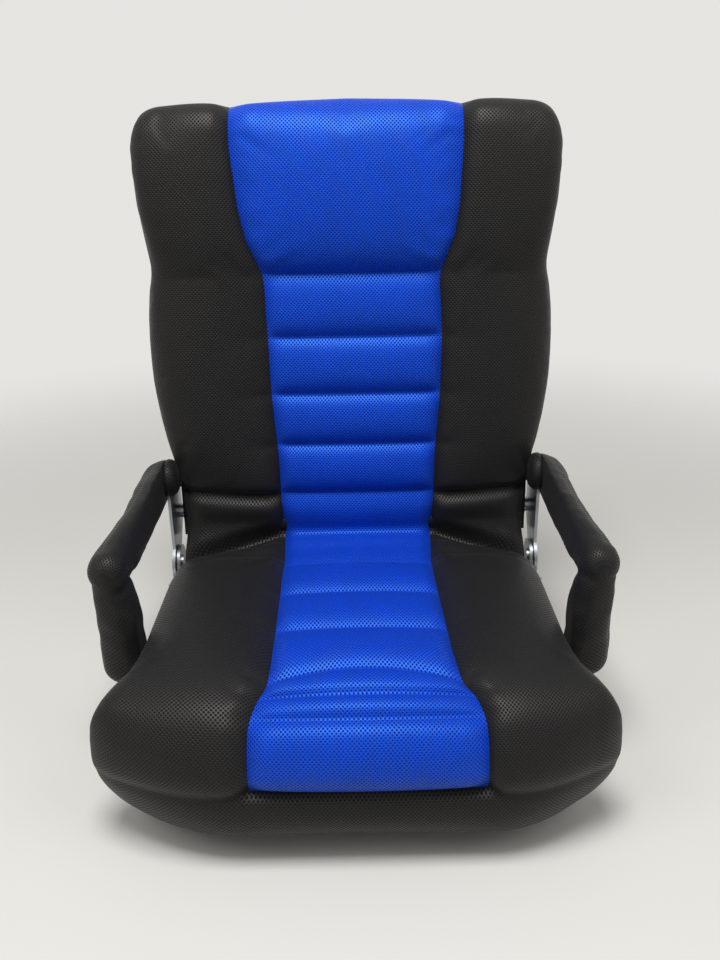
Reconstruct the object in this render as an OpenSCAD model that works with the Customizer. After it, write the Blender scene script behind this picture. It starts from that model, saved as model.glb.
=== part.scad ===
// Swivel floor chair with a reclining back and linked arms.
// Origin: the swivel axis where it meets the floor. X runs across, the front faces -Y, Z is up.

/* [Floor ring and feet] */
// Outside diameter of the floor ring
ring_d = 400; // [340:1:420]
// Diameter of the tube that the ring is bent from
ring_tube_d = 22; // [18:0.5:26]
// Height of a rubber foot
foot_h = 14; // [12:0.5:16]
// Diameter of a rubber foot
foot_d = 30; // [26:1:36]
// Height of the ring's tube above the floor
foot_lift = 6; // [4:0.5:8]
// Number of rubber feet
foot_count = 6; // [4:1:8]
// Distance between the middles of the two cross bars
cross_bar_pitch = 110; // [100:1:120]
// Width of a cross bar
cross_bar_w = 30; // [26:1:34]
// Height of a cross bar
cross_bar_h = 20; // [18:0.5:22]
// Wall of every steel tube
tube_wall = 1.6; // [1.2:0.1:2]

/* [Swivel] */
// Side of a square swivel plate
swivel_plate_w = 150; // [144:1:156]
// Thickness of a swivel plate
swivel_plate_t = 2.5; // [2:0.1:3]
// Corner radius of a swivel plate
swivel_corner_r = 12; // [6:1:16]
// Diameter of a bearing ball
ball_d = 6.4; // [6:0.1:8]
// Diameter of the circle of balls
ball_circle_d = 112; // [100:1:118]
// Number of balls
ball_count = 16; // [12:1:20]
// Width of the ball cage
cage_w = 14; // [12:1:16]
// Thickness of the ball cage
cage_t = 2; // [1.5:0.1:2.5]
// Diameter of the middle rivet
rivet_d = 20; // [16:1:24]
// Distance of the swivel bolts from the middle, fore and aft
bolt_offset = 60; // [56:1:64]
// Diameter of the swivel bolts
swivel_bolt_d = 6; // [5:0.5:7]

/* [Seat] */
// Outside width of the seat frame
seat_frame_w = 480; // [474:1:484]
// Front face of the seat frame, ahead of the swivel axis
seat_front = 215; // [208:1:220]
// Rear face of the seat frame, behind the swivel axis
seat_rear = 150; // [148:1:152]
// Outside radius of the frame's front corners
frame_corner_r = 80; // [70:1:90]
// Side of the square frame tube
frame_tube = 20; // [18:0.5:22]
// Height of the cushion's top over the seat frame
cushion_h = 143; // [132:1:150]
// Reach of the front roll past the frame
nose_reach = 37; // [34:1:42]
// Reach of the cushion behind the rear rail
rear_reach = 13; // [10:1:15]
// How far the front roll is curved back at its corners
nose_curve = 72; // [60:1:76]
// Gap between the cushion's side and the plane of the hinge plates
side_gap = 1.5; // [1:0.5:4]
// Rounding of the cushions' edges
edge_round = 24; // [16:1:28]
// Swell of the bolsters
bolster_swell = 4; // [1:0.5:6]
// Depth of the seams between the channels
channel_depth = 7; // [3:0.5:9]
// Thickness of the blue padded panels
panel_t = 8; // [6:0.5:9]
// Half width of the blue seat panel at its narrow rear end
seat_panel_half_w = 95; // [85:1:110]
// Half width that the blue seat panel gains at the front roll
seat_panel_flare = 27; // [10:1:34]

/* [Back] */
// Lean of the back behind upright, in degrees
lean = 4.5; // [2:0.5:7]
// Height of the back cushion's top over the hinge
back_h = 590; // [570:1:620]
// Height of the back cushion's bottom over the hinge
back_bottom = 36; // [36:1:42]
// Face of the back cushion ahead of the hinge
back_face = 25; // [22:0.5:28]
// Rear of the back cushion behind the hinge
back_depth = 62; // [60:0.5:68]
// How far the back cushion's widest part reaches past the seat frame on each side
back_overhang = 23; // [20:1:28]
// How far the headrest swells past the face of the back
headrest_swell = 14; // [6:1:18]
// Half width of the blue back panel
back_panel_half_w = 103; // [90:1:115]
// Half width that the headrest panel gains at its top edge
headrest_flare = 36; // [20:1:42]
// Front face of the back frame's tubes behind the hinge
back_frame_set = 26; // [26:0.5:28]
// Height of the back frame's top over the hinge
back_frame_h = 520; // [480:1:530]

/* [Hinge and arms] */
// Distance of the recline hinge behind the swivel axis
hinge_y = 160; // [158:1:163]
// Height of the recline hinge over the seat frame's underside
hinge_rise = 122; // [118:1:126]
// Thickness of the hinge plates and arm lugs
plate_t = 4; // [3:0.5:4.5]
// Gap between plates that turn against each other
plate_gap = 1; // [0.8:0.1:1.2]
// Radius of the notched hub
hub_r = 30; // [28:0.5:32]
// Number of recline positions
notch_count = 6; // [4:1:8]
// Recline between two positions, in degrees
notch_step = 17; // [12:0.5:17]
// Height of the rear arm pivot over the hinge, and of the elbow over the front pivot
crank = 126; // [120:1:132]
// Distance of the front arm pivot ahead of the swivel axis
arm_front = 68; // [60:1:74]
// How far the front arm pivot is below the hinge
arm_drop = 18; // [12:1:22]
// Outside radius of the arm sleeves
sleeve_r = 23; // [21:0.5:24]
// Outside radius of the arm tubes
arm_tube_r = 9; // [8:0.5:10]
// How far the elbow stands outside the rear arm pivot
elbow_out = 21; // [19:0.5:24]
// Diameter of the arm pivots
arm_pivot_d = 10; // [8:0.5:11]
// Diameter of the hinge pivots
hinge_pivot_d = 12; // [10:0.5:14]
// Diameter of the frame bolts
frame_bolt_d = 8; // [6:0.5:9]

/* [Hidden] */

// Colours
zinc = [0.74, 0.75, 0.77];
black_steel = [0.13, 0.13, 0.14];
black_mesh = [0.11, 0.11, 0.12];
blue_mesh = [0.04, 0.2, 0.8];
rubber_black = [0.06, 0.06, 0.06];
webbing_black = [0.17, 0.17, 0.18];
nylon_white = [0.85, 0.85, 0.82];

// Clearances
run_gap = 0.05; // between a pin and the hole that turns on it
rest_gap = 0.3; // between a soft piece and its neighbour
fabric_gap = 1; // the cover passes between a rail and what is bolted to it
panel_gap = 1; // beside a sewn-in panel
cut = 5; // overrun of a cut
round_fn = 48;

// Heights, from the floor up
ring_r = (ring_d - ring_tube_d) / 2;
ring_z = foot_lift + ring_tube_d / 2;
bars_top = foot_lift + ring_tube_d;
ball_gap = ball_d + 2 * rest_gap;
upper_plate_z = bars_top + swivel_plate_t + ball_gap;
frame_z = upper_plate_z + swivel_plate_t;
frame_top = frame_z + frame_tube;
strap_t = 2;
strap_w = 50;
pad_z = frame_top + strap_t + rest_gap;
seat_top = frame_top + cushion_h;
hinge_z = frame_z + hinge_rise;
front_pivot_z = hinge_z - arm_drop;

// Planes across the chair, from the middle outwards
rail_x = seat_frame_w / 2;
seat_plate_x = rail_x + fabric_gap;
back_plate_x = seat_plate_x + plate_t + plate_gap;
lug_x = back_plate_x + plate_t + plate_gap;
front_lug_x = seat_plate_x + plate_t + plate_gap;
sleeve_x = lug_x - plate_gap / 2;
elbow_x = sleeve_x + elbow_out;
seat_half_w = seat_plate_x - side_gap;

// Arm pivots as [y, z]
hinge_at = [hinge_y, hinge_z];
rear_pivot = [hinge_y, hinge_z + crank];
front_pivot = [-arm_front, front_pivot_z];
elbow = [-arm_front, front_pivot_z + crank];
lug_r = 13;
lug_len = 45;

// Fasteners, as shares of the shank's diameter
nut_w_share = 1.75;
nut_h_share = 0.6;
head_w_share = 2;
low_head_h = 2;
dome_h = 4;

function nut_r(d) = d * nut_w_share / 2 / cos(30);
function nut_h(d) = d * nut_h_share;
function mix(a, b, f) = a + (b - a) * f;

// The way that an edge's rounding faces, at an angle above straight ahead
function rounding_way(angle) = [-cos(angle), sin(angle)];

// Value of a table of [place, value] pairs, with its corners eased over a reach of r either way
function eased(x, table, r) =
    (lookup(x - r, table) + 2 * lookup(x, table) + lookup(x + r, table)) / 4;

// Outward unit normal of a chain of points at place i
function outward(chain, i) =
    let (
        ahead = chain[min(i + 1, len(chain) - 1)],
        behind = chain[max(i - 1, 0)],
        d = [ahead[0] - behind[0], ahead[1] - behind[1]]
    )
    [d[1], -d[0]] / norm(d);

module both_sides() {
    children();
    mirror([1, 0, 0]) children();
}

module left_side() mirror([1, 0, 0]) children();

// A cylinder along X between two planes
module along_x(x0, x1, r) {
    translate([x0, 0, 0]) rotate([0, 90, 0]) cylinder(h = x1 - x0, r = r, $fn = round_fn);
}

// A flat shape drawn as [y, z] and given a thickness along X from the plane x0
module plate_at(x0, t) {
    translate([x0, 0, 0]) rotate([90, 0, 90]) linear_extrude(t) children();
}

module at_yz(p) translate([0, p[0], p[1]]) children();

// A round bar between two points
module rod(a, b, r) {
    d = b - a;
    translate(a)
        rotate([0, acos(d[2] / norm(d)), atan2(d[1], d[0])])
            cylinder(h = norm(d), r = r, $fn = round_fn);
}

// A round bar with ball ends at two points
module capsule(a, b, r) {
    d = b - a;
    translate(a)
        rotate([0, acos(d[2] / norm(d)), atan2(d[1], d[0])])
            rotate_extrude($fn = round_fn)
                intersection() {
                    union() {
                        circle(r = r, $fn = round_fn);
                        translate([-r, 0]) square([2 * r, norm(d)]);
                        translate([0, norm(d)]) circle(r = r, $fn = round_fn);
                    }
                    translate([0, -r]) square([r, norm(d) + 2 * r]);
                }
}

// Square tube along X, Y or Z from its low corner, open at its ends
module square_tube(size, axis) {
    hollow = [for (k = [0:2]) k == axis ? size[k] + 2 * cut : size[k] - 2 * tube_wall];
    start = [for (k = [0:2]) k == axis ? -cut : tube_wall];
    difference() {
        cube(size);
        translate(start) cube(hollow);
    }
}

// Hexagon nut with its face at the origin, standing up Z
module nut(d) {
    difference() {
        cylinder(h = nut_h(d), r = nut_r(d), $fn = 6);
        translate([0, 0, -cut]) cylinder(h = nut_h(d) + 2 * cut, r = d / 2 + run_gap, $fn = round_fn);
    }
}

module nut_along_x(x0, d) translate([x0, 0, 0]) rotate([0, 90, 0]) nut(d);

module rounded_square(w, r) {
    translate([-w / 2 + r, -w / 2]) square([w - 2 * r, w]);
    translate([-w / 2, -w / 2 + r]) square([w, w - 2 * r]);
    for (x = [-1, 1], y = [-1, 1])
        translate([x * (w / 2 - r), y * (w / 2 - r)]) circle(r = r, $fn = round_fn);
}

// A closed solid between an outer and an inner grid of points with the same rows and columns
module sheet(outer, inner) {
    rows = len(outer);
    cols = len(outer[0]);
    n = rows * cols;
    function o(i, j) = i * cols + j;
    function u(i, j) = n + i * cols + j;
    points = [for (grid = [outer, inner], row = grid) each row];
    faces = [
        for (i = [0:rows - 2], j = [0:cols - 2]) each [
            [o(i, j), o(i, j + 1), o(i + 1, j + 1)],
            [o(i, j), o(i + 1, j + 1), o(i + 1, j)],
            [u(i, j), u(i + 1, j + 1), u(i, j + 1)],
            [u(i, j), u(i + 1, j), u(i + 1, j + 1)]
        ],
        for (i = [0:rows - 2]) each [
            [o(i, 0), o(i + 1, 0), u(i + 1, 0)],
            [o(i, 0), u(i + 1, 0), u(i, 0)],
            [o(i + 1, cols - 1), o(i, cols - 1), u(i, cols - 1)],
            [o(i + 1, cols - 1), u(i, cols - 1), u(i + 1, cols - 1)]
        ],
        for (j = [0:cols - 2]) each [
            [o(0, j + 1), o(0, j), u(0, j)],
            [o(0, j + 1), u(0, j), u(0, j + 1)],
            [o(rows - 1, j), o(rows - 1, j + 1), u(rows - 1, j + 1)],
            [o(rows - 1, j), u(rows - 1, j + 1), u(rows - 1, j)]
        ]
    ];
    polyhedron(points = points, faces = faces);
}

// Columns of a cushion, outwards from the panel: [share of the way to the side, share of the edge's
// rounding, share of the bolster's swell]
cushion_column_shares = [
    [0, 0.1, 0], [0.22, 0, 0.9], [0.55, 0, 1], [0.82, 0.08, 0.2], [0.95, 0.42, 0], [1, 1, 0]
];
step_w = 0.6; // the wall of the panel's recess leans by this much
// Columns of a panel: [share of its half width, share of the seam's dip]
panel_column_shares = [[-1, 1], [-0.88, 0.2], [-0.45, 0], [0.45, 0], [0.88, 0.2], [1, 1]];
seam_dip = 2;

// Depth of a channel's surface at share f of the way between its seams
function channel_dip(f) = channel_depth * pow(abs(2 * f - 1), 3);
channel_step_shares = [0, 0.1, 0.3, 0.7, 0.9];

// Frame and base

module ring_tube(grow) {
    translate([0, 0, ring_z])
        rotate_extrude($fn = round_fn * 2)
            translate([ring_r, 0]) circle(r = ring_tube_d / 2 + grow, $fn = round_fn);
}

module base_ring() color(black_steel) ring_tube(0);

weld_gap = 0.1;

module base_cross_bars() {
    reach = sqrt(pow(ring_r, 2) - pow(cross_bar_pitch / 2, 2));
    color(black_steel)
        for (s = [-1, 1])
            difference() {
                translate([s * cross_bar_pitch / 2 - cross_bar_w / 2, -reach, bars_top - cross_bar_h])
                    square_tube([cross_bar_w, 2 * reach, cross_bar_h], 1);
                ring_tube(weld_gap);
                for (y = [-bolt_offset, bolt_offset])
                    translate([s * cross_bar_pitch / 2, y, 0])
                        cylinder(h = bars_top + cut, r = swivel_bolt_d / 2 + run_gap, $fn = round_fn);
            }
}

module base_feet() {
    color(rubber_black)
        for (k = [0:foot_count - 1])
            difference() {
                rotate([0, 0, k * 360 / foot_count])
                    translate([ring_r, 0, 0]) cylinder(h = foot_h, d = foot_d, $fn = round_fn);
                ring_tube(weld_gap);
            }
}

module swivel_lower_plate() {
    color(zinc)
        translate([0, 0, bars_top])
            linear_extrude(swivel_plate_t)
                difference() {
                    rounded_square(swivel_plate_w, swivel_corner_r);
                    circle(d = rivet_d + 2 * run_gap, $fn = round_fn);
                    for (x = [-1, 1], y = [-1, 1])
                        translate([x * cross_bar_pitch / 2, y * bolt_offset])
                            circle(d = swivel_bolt_d + 2 * run_gap, $fn = round_fn);
                }
}

module swivel_lower_bolts() {
    color(zinc)
        for (x = [-1, 1], y = [-1, 1])
            translate([x * cross_bar_pitch / 2, y * bolt_offset, 0]) {
                translate([0, 0, bars_top + swivel_plate_t])
                    cylinder(h = low_head_h, d = swivel_bolt_d * head_w_share, $fn = round_fn);
                translate([0, 0, bars_top - cross_bar_h - nut_h(swivel_bolt_d)])
                    cylinder(
                        h = cross_bar_h + nut_h(swivel_bolt_d) + swivel_plate_t, d = swivel_bolt_d,
                        $fn = round_fn
                    );
            }
}

module swivel_lower_nuts() {
    color(zinc)
        for (x = [-1, 1], y = [-1, 1])
            translate([
                x * cross_bar_pitch / 2, y * bolt_offset, bars_top - cross_bar_h - nut_h(swivel_bolt_d)
            ])
                nut(swivel_bolt_d);
}

rivet_rim = 6;

module swivel_rivet() {
    rim_r = rivet_d / 2 + rivet_rim;
    color(zinc)
        rotate_extrude($fn = round_fn) {
            translate([0, bars_top - low_head_h]) square([rim_r, low_head_h]);
            translate([0, bars_top - low_head_h])
                square([rivet_d / 2, frame_z - bars_top + 2 * low_head_h + rest_gap]);
            translate([0, frame_z + rest_gap]) square([rim_r, low_head_h]);
        }
}

module swivel_balls() {
    color(zinc)
        for (k = [0:ball_count - 1])
            rotate([0, 0, k * 360 / ball_count])
                translate([ball_circle_d / 2, 0, bars_top + swivel_plate_t + ball_gap / 2])
                    sphere(d = ball_d, $fn = 16);
}

module swivel_ball_cage() {
    color(nylon_white)
        translate([0, 0, bars_top + swivel_plate_t + ball_gap / 2 - cage_t / 2])
            linear_extrude(cage_t)
                difference() {
                    circle(d = ball_circle_d + cage_w, $fn = round_fn * 2);
                    circle(d = ball_circle_d - cage_w, $fn = round_fn * 2);
                    for (k = [0:ball_count - 1])
                        rotate(k * 360 / ball_count)
                            translate([ball_circle_d / 2, 0]) circle(d = ball_d + rest_gap, $fn = 24);
                }
}

module swivel_upper_plate() {
    color(zinc)
        translate([0, 0, upper_plate_z])
            linear_extrude(swivel_plate_t)
                difference() {
                    rounded_square(swivel_plate_w, swivel_corner_r);
                    circle(d = rivet_d + 2 * run_gap, $fn = round_fn);
                    for (x = [-1, 1], y = [-1, 1])
                        translate([x * bolt_offset, y * bolt_offset])
                            circle(d = swivel_bolt_d + 2 * run_gap, $fn = round_fn);
                }
}

upper_bolt_len = 12;

module swivel_upper_bolts() {
    color(zinc)
        for (x = [-1, 1], y = [-1, 1])
            translate([x * bolt_offset, y * bolt_offset, upper_plate_z]) {
                translate([0, 0, -low_head_h])
                    cylinder(h = low_head_h, d = swivel_bolt_d * head_w_share, $fn = round_fn);
                cylinder(h = upper_bolt_len, d = swivel_bolt_d, $fn = round_fn);
            }
}

module swivel_upper_nuts() {
    color(zinc)
        for (x = [-1, 1], y = [-1, 1])
            translate([x * bolt_offset, y * bolt_offset, frame_z + tube_wall]) nut(swivel_bolt_d);
}

// Seat frame

side_rail_y = -seat_front + frame_corner_r;
// Bolts through a side rail: two at the hinge plate and two at the arm bracket
hinge_foot = 52;
bracket_foot = 76;
bolt_edge = frame_tube / 2;
rail_bolt_y = [
    seat_rear - bolt_edge, seat_rear - hinge_foot + bolt_edge, -arm_front - bracket_foot / 2 + bolt_edge,
    -arm_front + bracket_foot / 2 - bolt_edge
];
rail_mid_z = frame_z + frame_tube / 2;

module seat_rail_right() {
    color(black_steel)
        difference() {
            translate([rail_x - frame_tube, side_rail_y, frame_z])
                square_tube([frame_tube, seat_rear - side_rail_y, frame_tube], 1);
            for (y = rail_bolt_y)
                at_yz([y, rail_mid_z])
                    along_x(rail_x - frame_tube - cut, rail_x + cut, frame_bolt_d / 2 + run_gap);
        }
}

module seat_rail_left() left_side() seat_rail_right();

module seat_front_rail() {
    straight = rail_x - frame_corner_r;
    color(black_steel) {
        translate([-straight, -seat_front, frame_z])
            square_tube([2 * straight, frame_tube, frame_tube], 0);
        both_sides()
            translate([straight, side_rail_y, frame_z])
                rotate([0, 0, -90])
                    rotate_extrude(angle = 90, $fn = round_fn * 2)
                        translate([frame_corner_r - frame_tube, 0])
                            difference() {
                                square(frame_tube);
                                translate([tube_wall, tube_wall]) square(frame_tube - 2 * tube_wall);
                            }
    }
}

module seat_rear_rail() {
    inner = rail_x - frame_tube;
    color(black_steel)
        translate([-inner, seat_rear - frame_tube, frame_z])
            square_tube([2 * inner, frame_tube, frame_tube], 0);
}

module seat_cross_bars() {
    inner = rail_x - frame_tube;
    color(black_steel)
        for (y = [-bolt_offset, bolt_offset])
            difference() {
                translate([-inner, y - frame_tube / 2, frame_z])
                    square_tube([2 * inner, frame_tube, frame_tube], 0);
                for (x = [-bolt_offset, bolt_offset])
                    translate([x, y, frame_z - cut])
                        cylinder(h = cut + frame_tube / 2, d = swivel_bolt_d + 2 * run_gap, $fn = round_fn);
            }
}

strap_count = 5;

module seat_straps() {
    first = side_rail_y + strap_w / 2;
    last = seat_rear - frame_tube - strap_w / 2;
    color(webbing_black)
        for (k = [0:strap_count - 1])
            translate([-rail_x, mix(first, last, k / (strap_count - 1)) - strap_w / 2, frame_top])
                cube([2 * rail_x, strap_w, strap_t]);
}

cover_t = 1.2;
dust_cover_window = 160;

module seat_dust_cover() {
    edge = frame_tube / 2;
    color(webbing_black)
        translate([0, 0, frame_z - cover_t])
            linear_extrude(cover_t)
                difference() {
                    translate([edge - rail_x, side_rail_y])
                        square([2 * (rail_x - edge), seat_rear - edge - side_rail_y]);
                    square(dust_cover_window, center = true);
                }
}

// Seat cushion

seat_depth = seat_rear + rear_reach + seat_front;
pad_h = seat_top - pad_z;
rear_edge = seat_rear + rear_reach;

// Share of the way from the cushion's rear edge to the frame's front
function seat_share(y) = (rear_edge - y) / seat_depth;
function seat_y(share) = rear_edge - share * seat_depth;

// The rear face as [share of the depth, share of the pad's height, share of the edge's rounding]
seat_rear_shares = [[0, 0.06, 0.1], [-0.006, 0.3, 0.15], [0, 0.58, 0.3], [0.022, 0.77, 0.6]];
// The top's fall below its crown, as a share of the cushion's height
seat_fall_shares = [
    [0.03, 0.17], [0.06, 0.126], [0.114, 0.077], [0.188, 0.035], [0.27, 0.007], [0.54, 0], [0.83, 0.014],
    [0.94, 0.05], [1, 0.09]
];
// Where seams cross the seat's top, from the crease to the front roll
seat_seam_shares = [0.061, 0.233, 0.447, 0.667, 0.881, 0.968];
// The front roll: [share of its reach, share of the height over the frame's underside, share of the
// corner's curve, share of the edge's rounding]
nose_shares = [
    [-0.32, 0.939, 0.54, 1], [0.3, 0.85, 0.74, 0.9], [0.73, 0.71, 0.91, 0.6], [0.96, 0.564, 0.98, 0.6],
    [1, 0.46, 1, 0.5], [0.757, 0.368, 1, 0.15], [0.86, 0.276, 1, 0.3], [0.83, 0.16, 1, 0.25],
    [0.74, 0.043, 1, 0.1], [0.67, 0.012, 1, 0]
];
// Which way the side edge is rounded off at each row of the roll, in degrees above straight back
nose_angles = [90, 75, 50, 30, 15, 0, 0, 0, 0, 0];
seat_width_shares = [[0, 0.962], [0.06, 0.975], [0.17, 0.99], [0.3, 1], [1, 1]];
seat_flare_shares = [[0.71, 0], [0.76, 0.22], [0.82, 0.6], [0.9, 0.95], [1, 1]];
seat_curve_shares = [[0.66, 0], [0.8, 0.08], [0.9, 0.33], [0.99, 0.6]];
seat_panel_shares = [[0, 0], [0.7, 0.1], [0.88, 0.25], [0.97, 0.6], [1.04, 0.9], [1.1, 1]];
ease = 0.02;

function seat_z(share) = seat_top - cushion_h * eased(share, seat_fall_shares, ease);

seam_row = 5; // the row of the roll where the boxing's seam runs

// Rows of the seat from rear to front: [y, z, share of the curve, share of the rounding, channel dip,
// angle of the rounding]
seat_rows = [
    for (p = seat_rear_shares) [seat_y(p[0]), pad_z + pad_h * p[1], 0, p[2], 0, 90],
    for (k = [0:len(seat_seam_shares) - 2], f = channel_step_shares)
        let (share = mix(seat_seam_shares[k], seat_seam_shares[k + 1], f))
        [seat_y(share), seat_z(share), eased(share, seat_curve_shares, ease), 1, channel_dip(f), 90],
    for (k = [0:len(nose_shares) - 1])
        let (p = nose_shares[k])
        [
            -seat_front - nose_reach * p[0], mix(frame_z, seat_top, p[1]), p[2], p[3],
            k == 0 || k == seam_row ? channel_depth : 0, nose_angles[k]
        ]
];
main_rows = len(seat_rows) - len(nose_shares);
panel_first_row = len(seat_rear_shares);
panel_last_row = main_rows + seam_row;

flare_share = 0.06667; // of the frame's width, past the cushion's side at each front corner
front_flare = seat_frame_w * flare_share;

function seat_half(share) =
    seat_half_w * eased(share, seat_width_shares, ease)
    + front_flare * eased(share, seat_flare_shares, ease);
function seat_panel_half(share) =
    seat_panel_half_w + seat_panel_flare * eased(share, seat_panel_shares, ease);
nose_power = 3.6;
inside_power = 6;
inside_gap = 6;
under_share = 0.97;
function nose_recede(x) = nose_curve * pow(min(abs(x) / (seat_half_w + front_flare), 1), nose_power);

// How far the cushion's inside falls back at x, to go round the frame's corners
function inside_recede(x) = nose_curve * pow(min(abs(x) / (seat_half_w + front_flare), 1), inside_power);

// A point of the seat's surface at row i and place x, with an offset along the outward normal
function seat_point(i, x, off, drop = 0) =
    let (
        row = seat_rows[i],
        n = outward(seat_rows, i) * off - rounding_way(row[5]) * drop,
        curve_x = max(abs(x), seat_panel_half(seat_share(row[0])))
    )
    [x, row[0] + n[0] + row[2] * nose_recede(curve_x), row[1] + n[1]];

function in_panel(i) = i >= panel_first_row && i <= panel_last_row;

// Columns of the right half at row i as [x, offset, drop of the rounded edge]
function seat_columns(i) =
    let (
        row = seat_rows[i],
        share = seat_share(row[0]),
        p = seat_panel_half(share) + panel_gap,
        w = seat_half(share),
        first_drop = cushion_column_shares[0][1] * edge_round * row[3]
    )
    [
        in_panel(i) ? [p, -panel_t - rest_gap - row[4], 0] : [p, 0, first_drop],
        for (c = cushion_column_shares)
            [mix(p + step_w, w, c[0]), c[2] * bolster_swell * row[3], c[1] * edge_round * row[3]]
    ];

under_narrow = 0.975;

// The underside at row i: flat on the straps, then down inside the boxing, clear of the front rail
function seat_under(i, x) =
    i < panel_first_row
        ? [x, rear_edge - (i + 1.5) * strap_t, pad_z]
        : i < main_rows
            ? [
                x,
                seat_rows[i][0] * under_share + inside_recede(x) * seat_rows[i][2] / nose_shares[0][2],
                pad_z
            ]
            : let (f = (i - main_rows) / (len(nose_shares) - 1))
              [x, inside_recede(x) - seat_front - inside_gap, mix(pad_z, frame_z + strap_t, f)];

// The whole row of columns, left to right, from those of its right half
function mirrored(cols) =
    concat([for (k = [len(cols) - 1:-1:0]) [-cols[k][0], cols[k][1], cols[k][2]]], cols);

module seat_cushion() {
    color(black_mesh)
        sheet(
            [
                for (i = [0:len(seat_rows) - 1])
                    [for (c = mirrored(seat_columns(i))) seat_point(i, c[0], c[1], c[2])]
            ],
            [
                for (i = [0:len(seat_rows) - 1])
                    [for (c = mirrored(seat_columns(i))) seat_under(i, c[0] * under_narrow)]
            ]
        );
}

// A panel on the seat at row i, from its outer face to an offset below it
function seat_panel_row(i, under) =
    let (row = seat_rows[i], p = seat_panel_half(seat_share(row[0])))
    [
        for (c = panel_column_shares)
            seat_point(i, c[0] * p, -row[4] - (under > 0 ? under : c[1] * seam_dip))
    ];

module seat_centre_panel() {
    rows = [panel_first_row:panel_last_row];
    color(blue_mesh)
        sheet([for (i = rows) seat_panel_row(i, 0)], [for (i = rows) seat_panel_row(i, panel_t)]);
}

// Recline hinge. Outlines are drawn as [y, z]

seat_hub_r = 24;
pawl_angle = 235; // direction of the pawl's nose from the hinge
pawl_lift = 0.5;
nose_r = 2.6;
neck_share = -0.1; // the nose stands proud of the pawl's edge by the hub, so that only it meets a notch
notch_gap = 0.4;
pawl_throw = 7.7; // turn that drops the pawl into a notch, in degrees
forward_tip = 8; // the first notch is longer, so that the back can tip so many degrees forward of upright
pawl_ahead = 41;
pawl_below = 15;
pawl_pivot = hinge_at - [pawl_ahead, pawl_below];
pawl_pin_d = 6;
pawl_r = 7;
function polar(r, a) = [r * cos(a), r * sin(a)];
function turned(p, a) = [p[0] * cos(a) - p[1] * sin(a), p[0] * sin(a) + p[1] * cos(a)];
pawl_nose = hinge_at + polar(hub_r + nose_r + pawl_lift, pawl_angle);
pawl_nose_down = pawl_pivot + turned(pawl_nose - pawl_pivot, pawl_throw);
notch_at = pawl_nose_down - hinge_at;
foot_front = seat_rear - hinge_foot;

module hinge_seat_plates() {
    color(zinc)
        both_sides()
            plate_at(seat_plate_x, plate_t)
                difference() {
                    union() {
                        polygon([
                            [foot_front, frame_z], [seat_rear, frame_z], hinge_at + [seat_hub_r, 0],
                            hinge_at, pawl_pivot + [-pawl_r, 2 * pawl_r], pawl_pivot + [-2 * pawl_r, 0],
                            [foot_front, mix(frame_top, pawl_pivot[1], 0.5)]
                        ]);
                        translate(hinge_at) circle(r = seat_hub_r, $fn = round_fn);
                    }
                    translate(hinge_at) circle(d = hinge_pivot_d + 2 * run_gap, $fn = round_fn);
                    translate(pawl_pivot) circle(d = pawl_pin_d + 2 * run_gap, $fn = round_fn);
                    for (k = [0, 1])
                        translate([rail_bolt_y[k], rail_mid_z])
                            circle(d = frame_bolt_d + 2 * run_gap, $fn = round_fn);
                }
}

bracket_w = 32;

module arm_brackets() {
    color(zinc)
        both_sides()
            plate_at(seat_plate_x, plate_t)
                difference() {
                    union() {
                        polygon([
                            [-arm_front - bracket_foot / 2, frame_z],
                            [-arm_front + bracket_foot / 2, frame_z],
                            [-arm_front + bracket_foot / 2, frame_top],
                            front_pivot + [bracket_w / 2, -bracket_w / 2],
                            front_pivot + [bracket_w / 2, 0], front_pivot + [-bracket_w / 2, 0],
                            front_pivot + [-bracket_w / 2, -bracket_w / 2],
                            [-arm_front - bracket_foot / 2, frame_top]
                        ]);
                        translate(front_pivot) circle(d = bracket_w, $fn = round_fn);
                    }
                    translate(front_pivot) circle(d = arm_pivot_d + 2 * run_gap, $fn = round_fn);
                    for (k = [2, 3])
                        translate([rail_bolt_y[k], rail_mid_z])
                            circle(d = frame_bolt_d + 2 * run_gap, $fn = round_fn);
                }
}

module rail_bolts() {
    outside = seat_plate_x + plate_t;
    color(zinc)
        both_sides()
            for (y = rail_bolt_y)
                at_yz([y, rail_mid_z]) {
                    along_x(rail_x - frame_tube - nut_h(frame_bolt_d), outside, frame_bolt_d / 2);
                    along_x(outside, outside + dome_h, frame_bolt_d * head_w_share / 2);
                }
}

module rail_nuts() {
    color(zinc)
        both_sides()
            for (y = rail_bolt_y)
                at_yz([y, rail_mid_z]) nut_along_x(rail_x - frame_tube - nut_h(frame_bolt_d), frame_bolt_d);
}

pivot_head_w = 20;

module hinge_pivots() {
    color(zinc)
        both_sides()
            at_yz(hinge_at) {
                along_x(seat_plate_x - low_head_h, seat_plate_x, pivot_head_w / 2);
                along_x(seat_plate_x - low_head_h, back_plate_x + plate_t, hinge_pivot_d / 2);
            }
}

module pawl_pins() {
    color(zinc)
        both_sides()
            at_yz(pawl_pivot) along_x(seat_plate_x, back_plate_x + plate_t, pawl_pin_d / 2);
}

module pawl_shape() {
    run = pawl_nose - pawl_pivot;
    side = [-run[1], run[0]] / norm(run);
    difference() {
        union() {
            translate(pawl_pivot) circle(r = pawl_r, $fn = round_fn);
            translate(pawl_nose) circle(r = nose_r, $fn = round_fn);
            polygon([
                pawl_pivot + side * pawl_r, pawl_pivot - side * pawl_r, pawl_nose - side * nose_r,
                pawl_nose + side * nose_r * neck_share
            ]);
            polygon([pawl_pivot + side * pawl_r, pawl_pivot - run, pawl_pivot - side * pawl_r]);
        }
        translate(pawl_pivot) circle(d = pawl_pin_d + 2 * run_gap, $fn = round_fn);
    }
}

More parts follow.
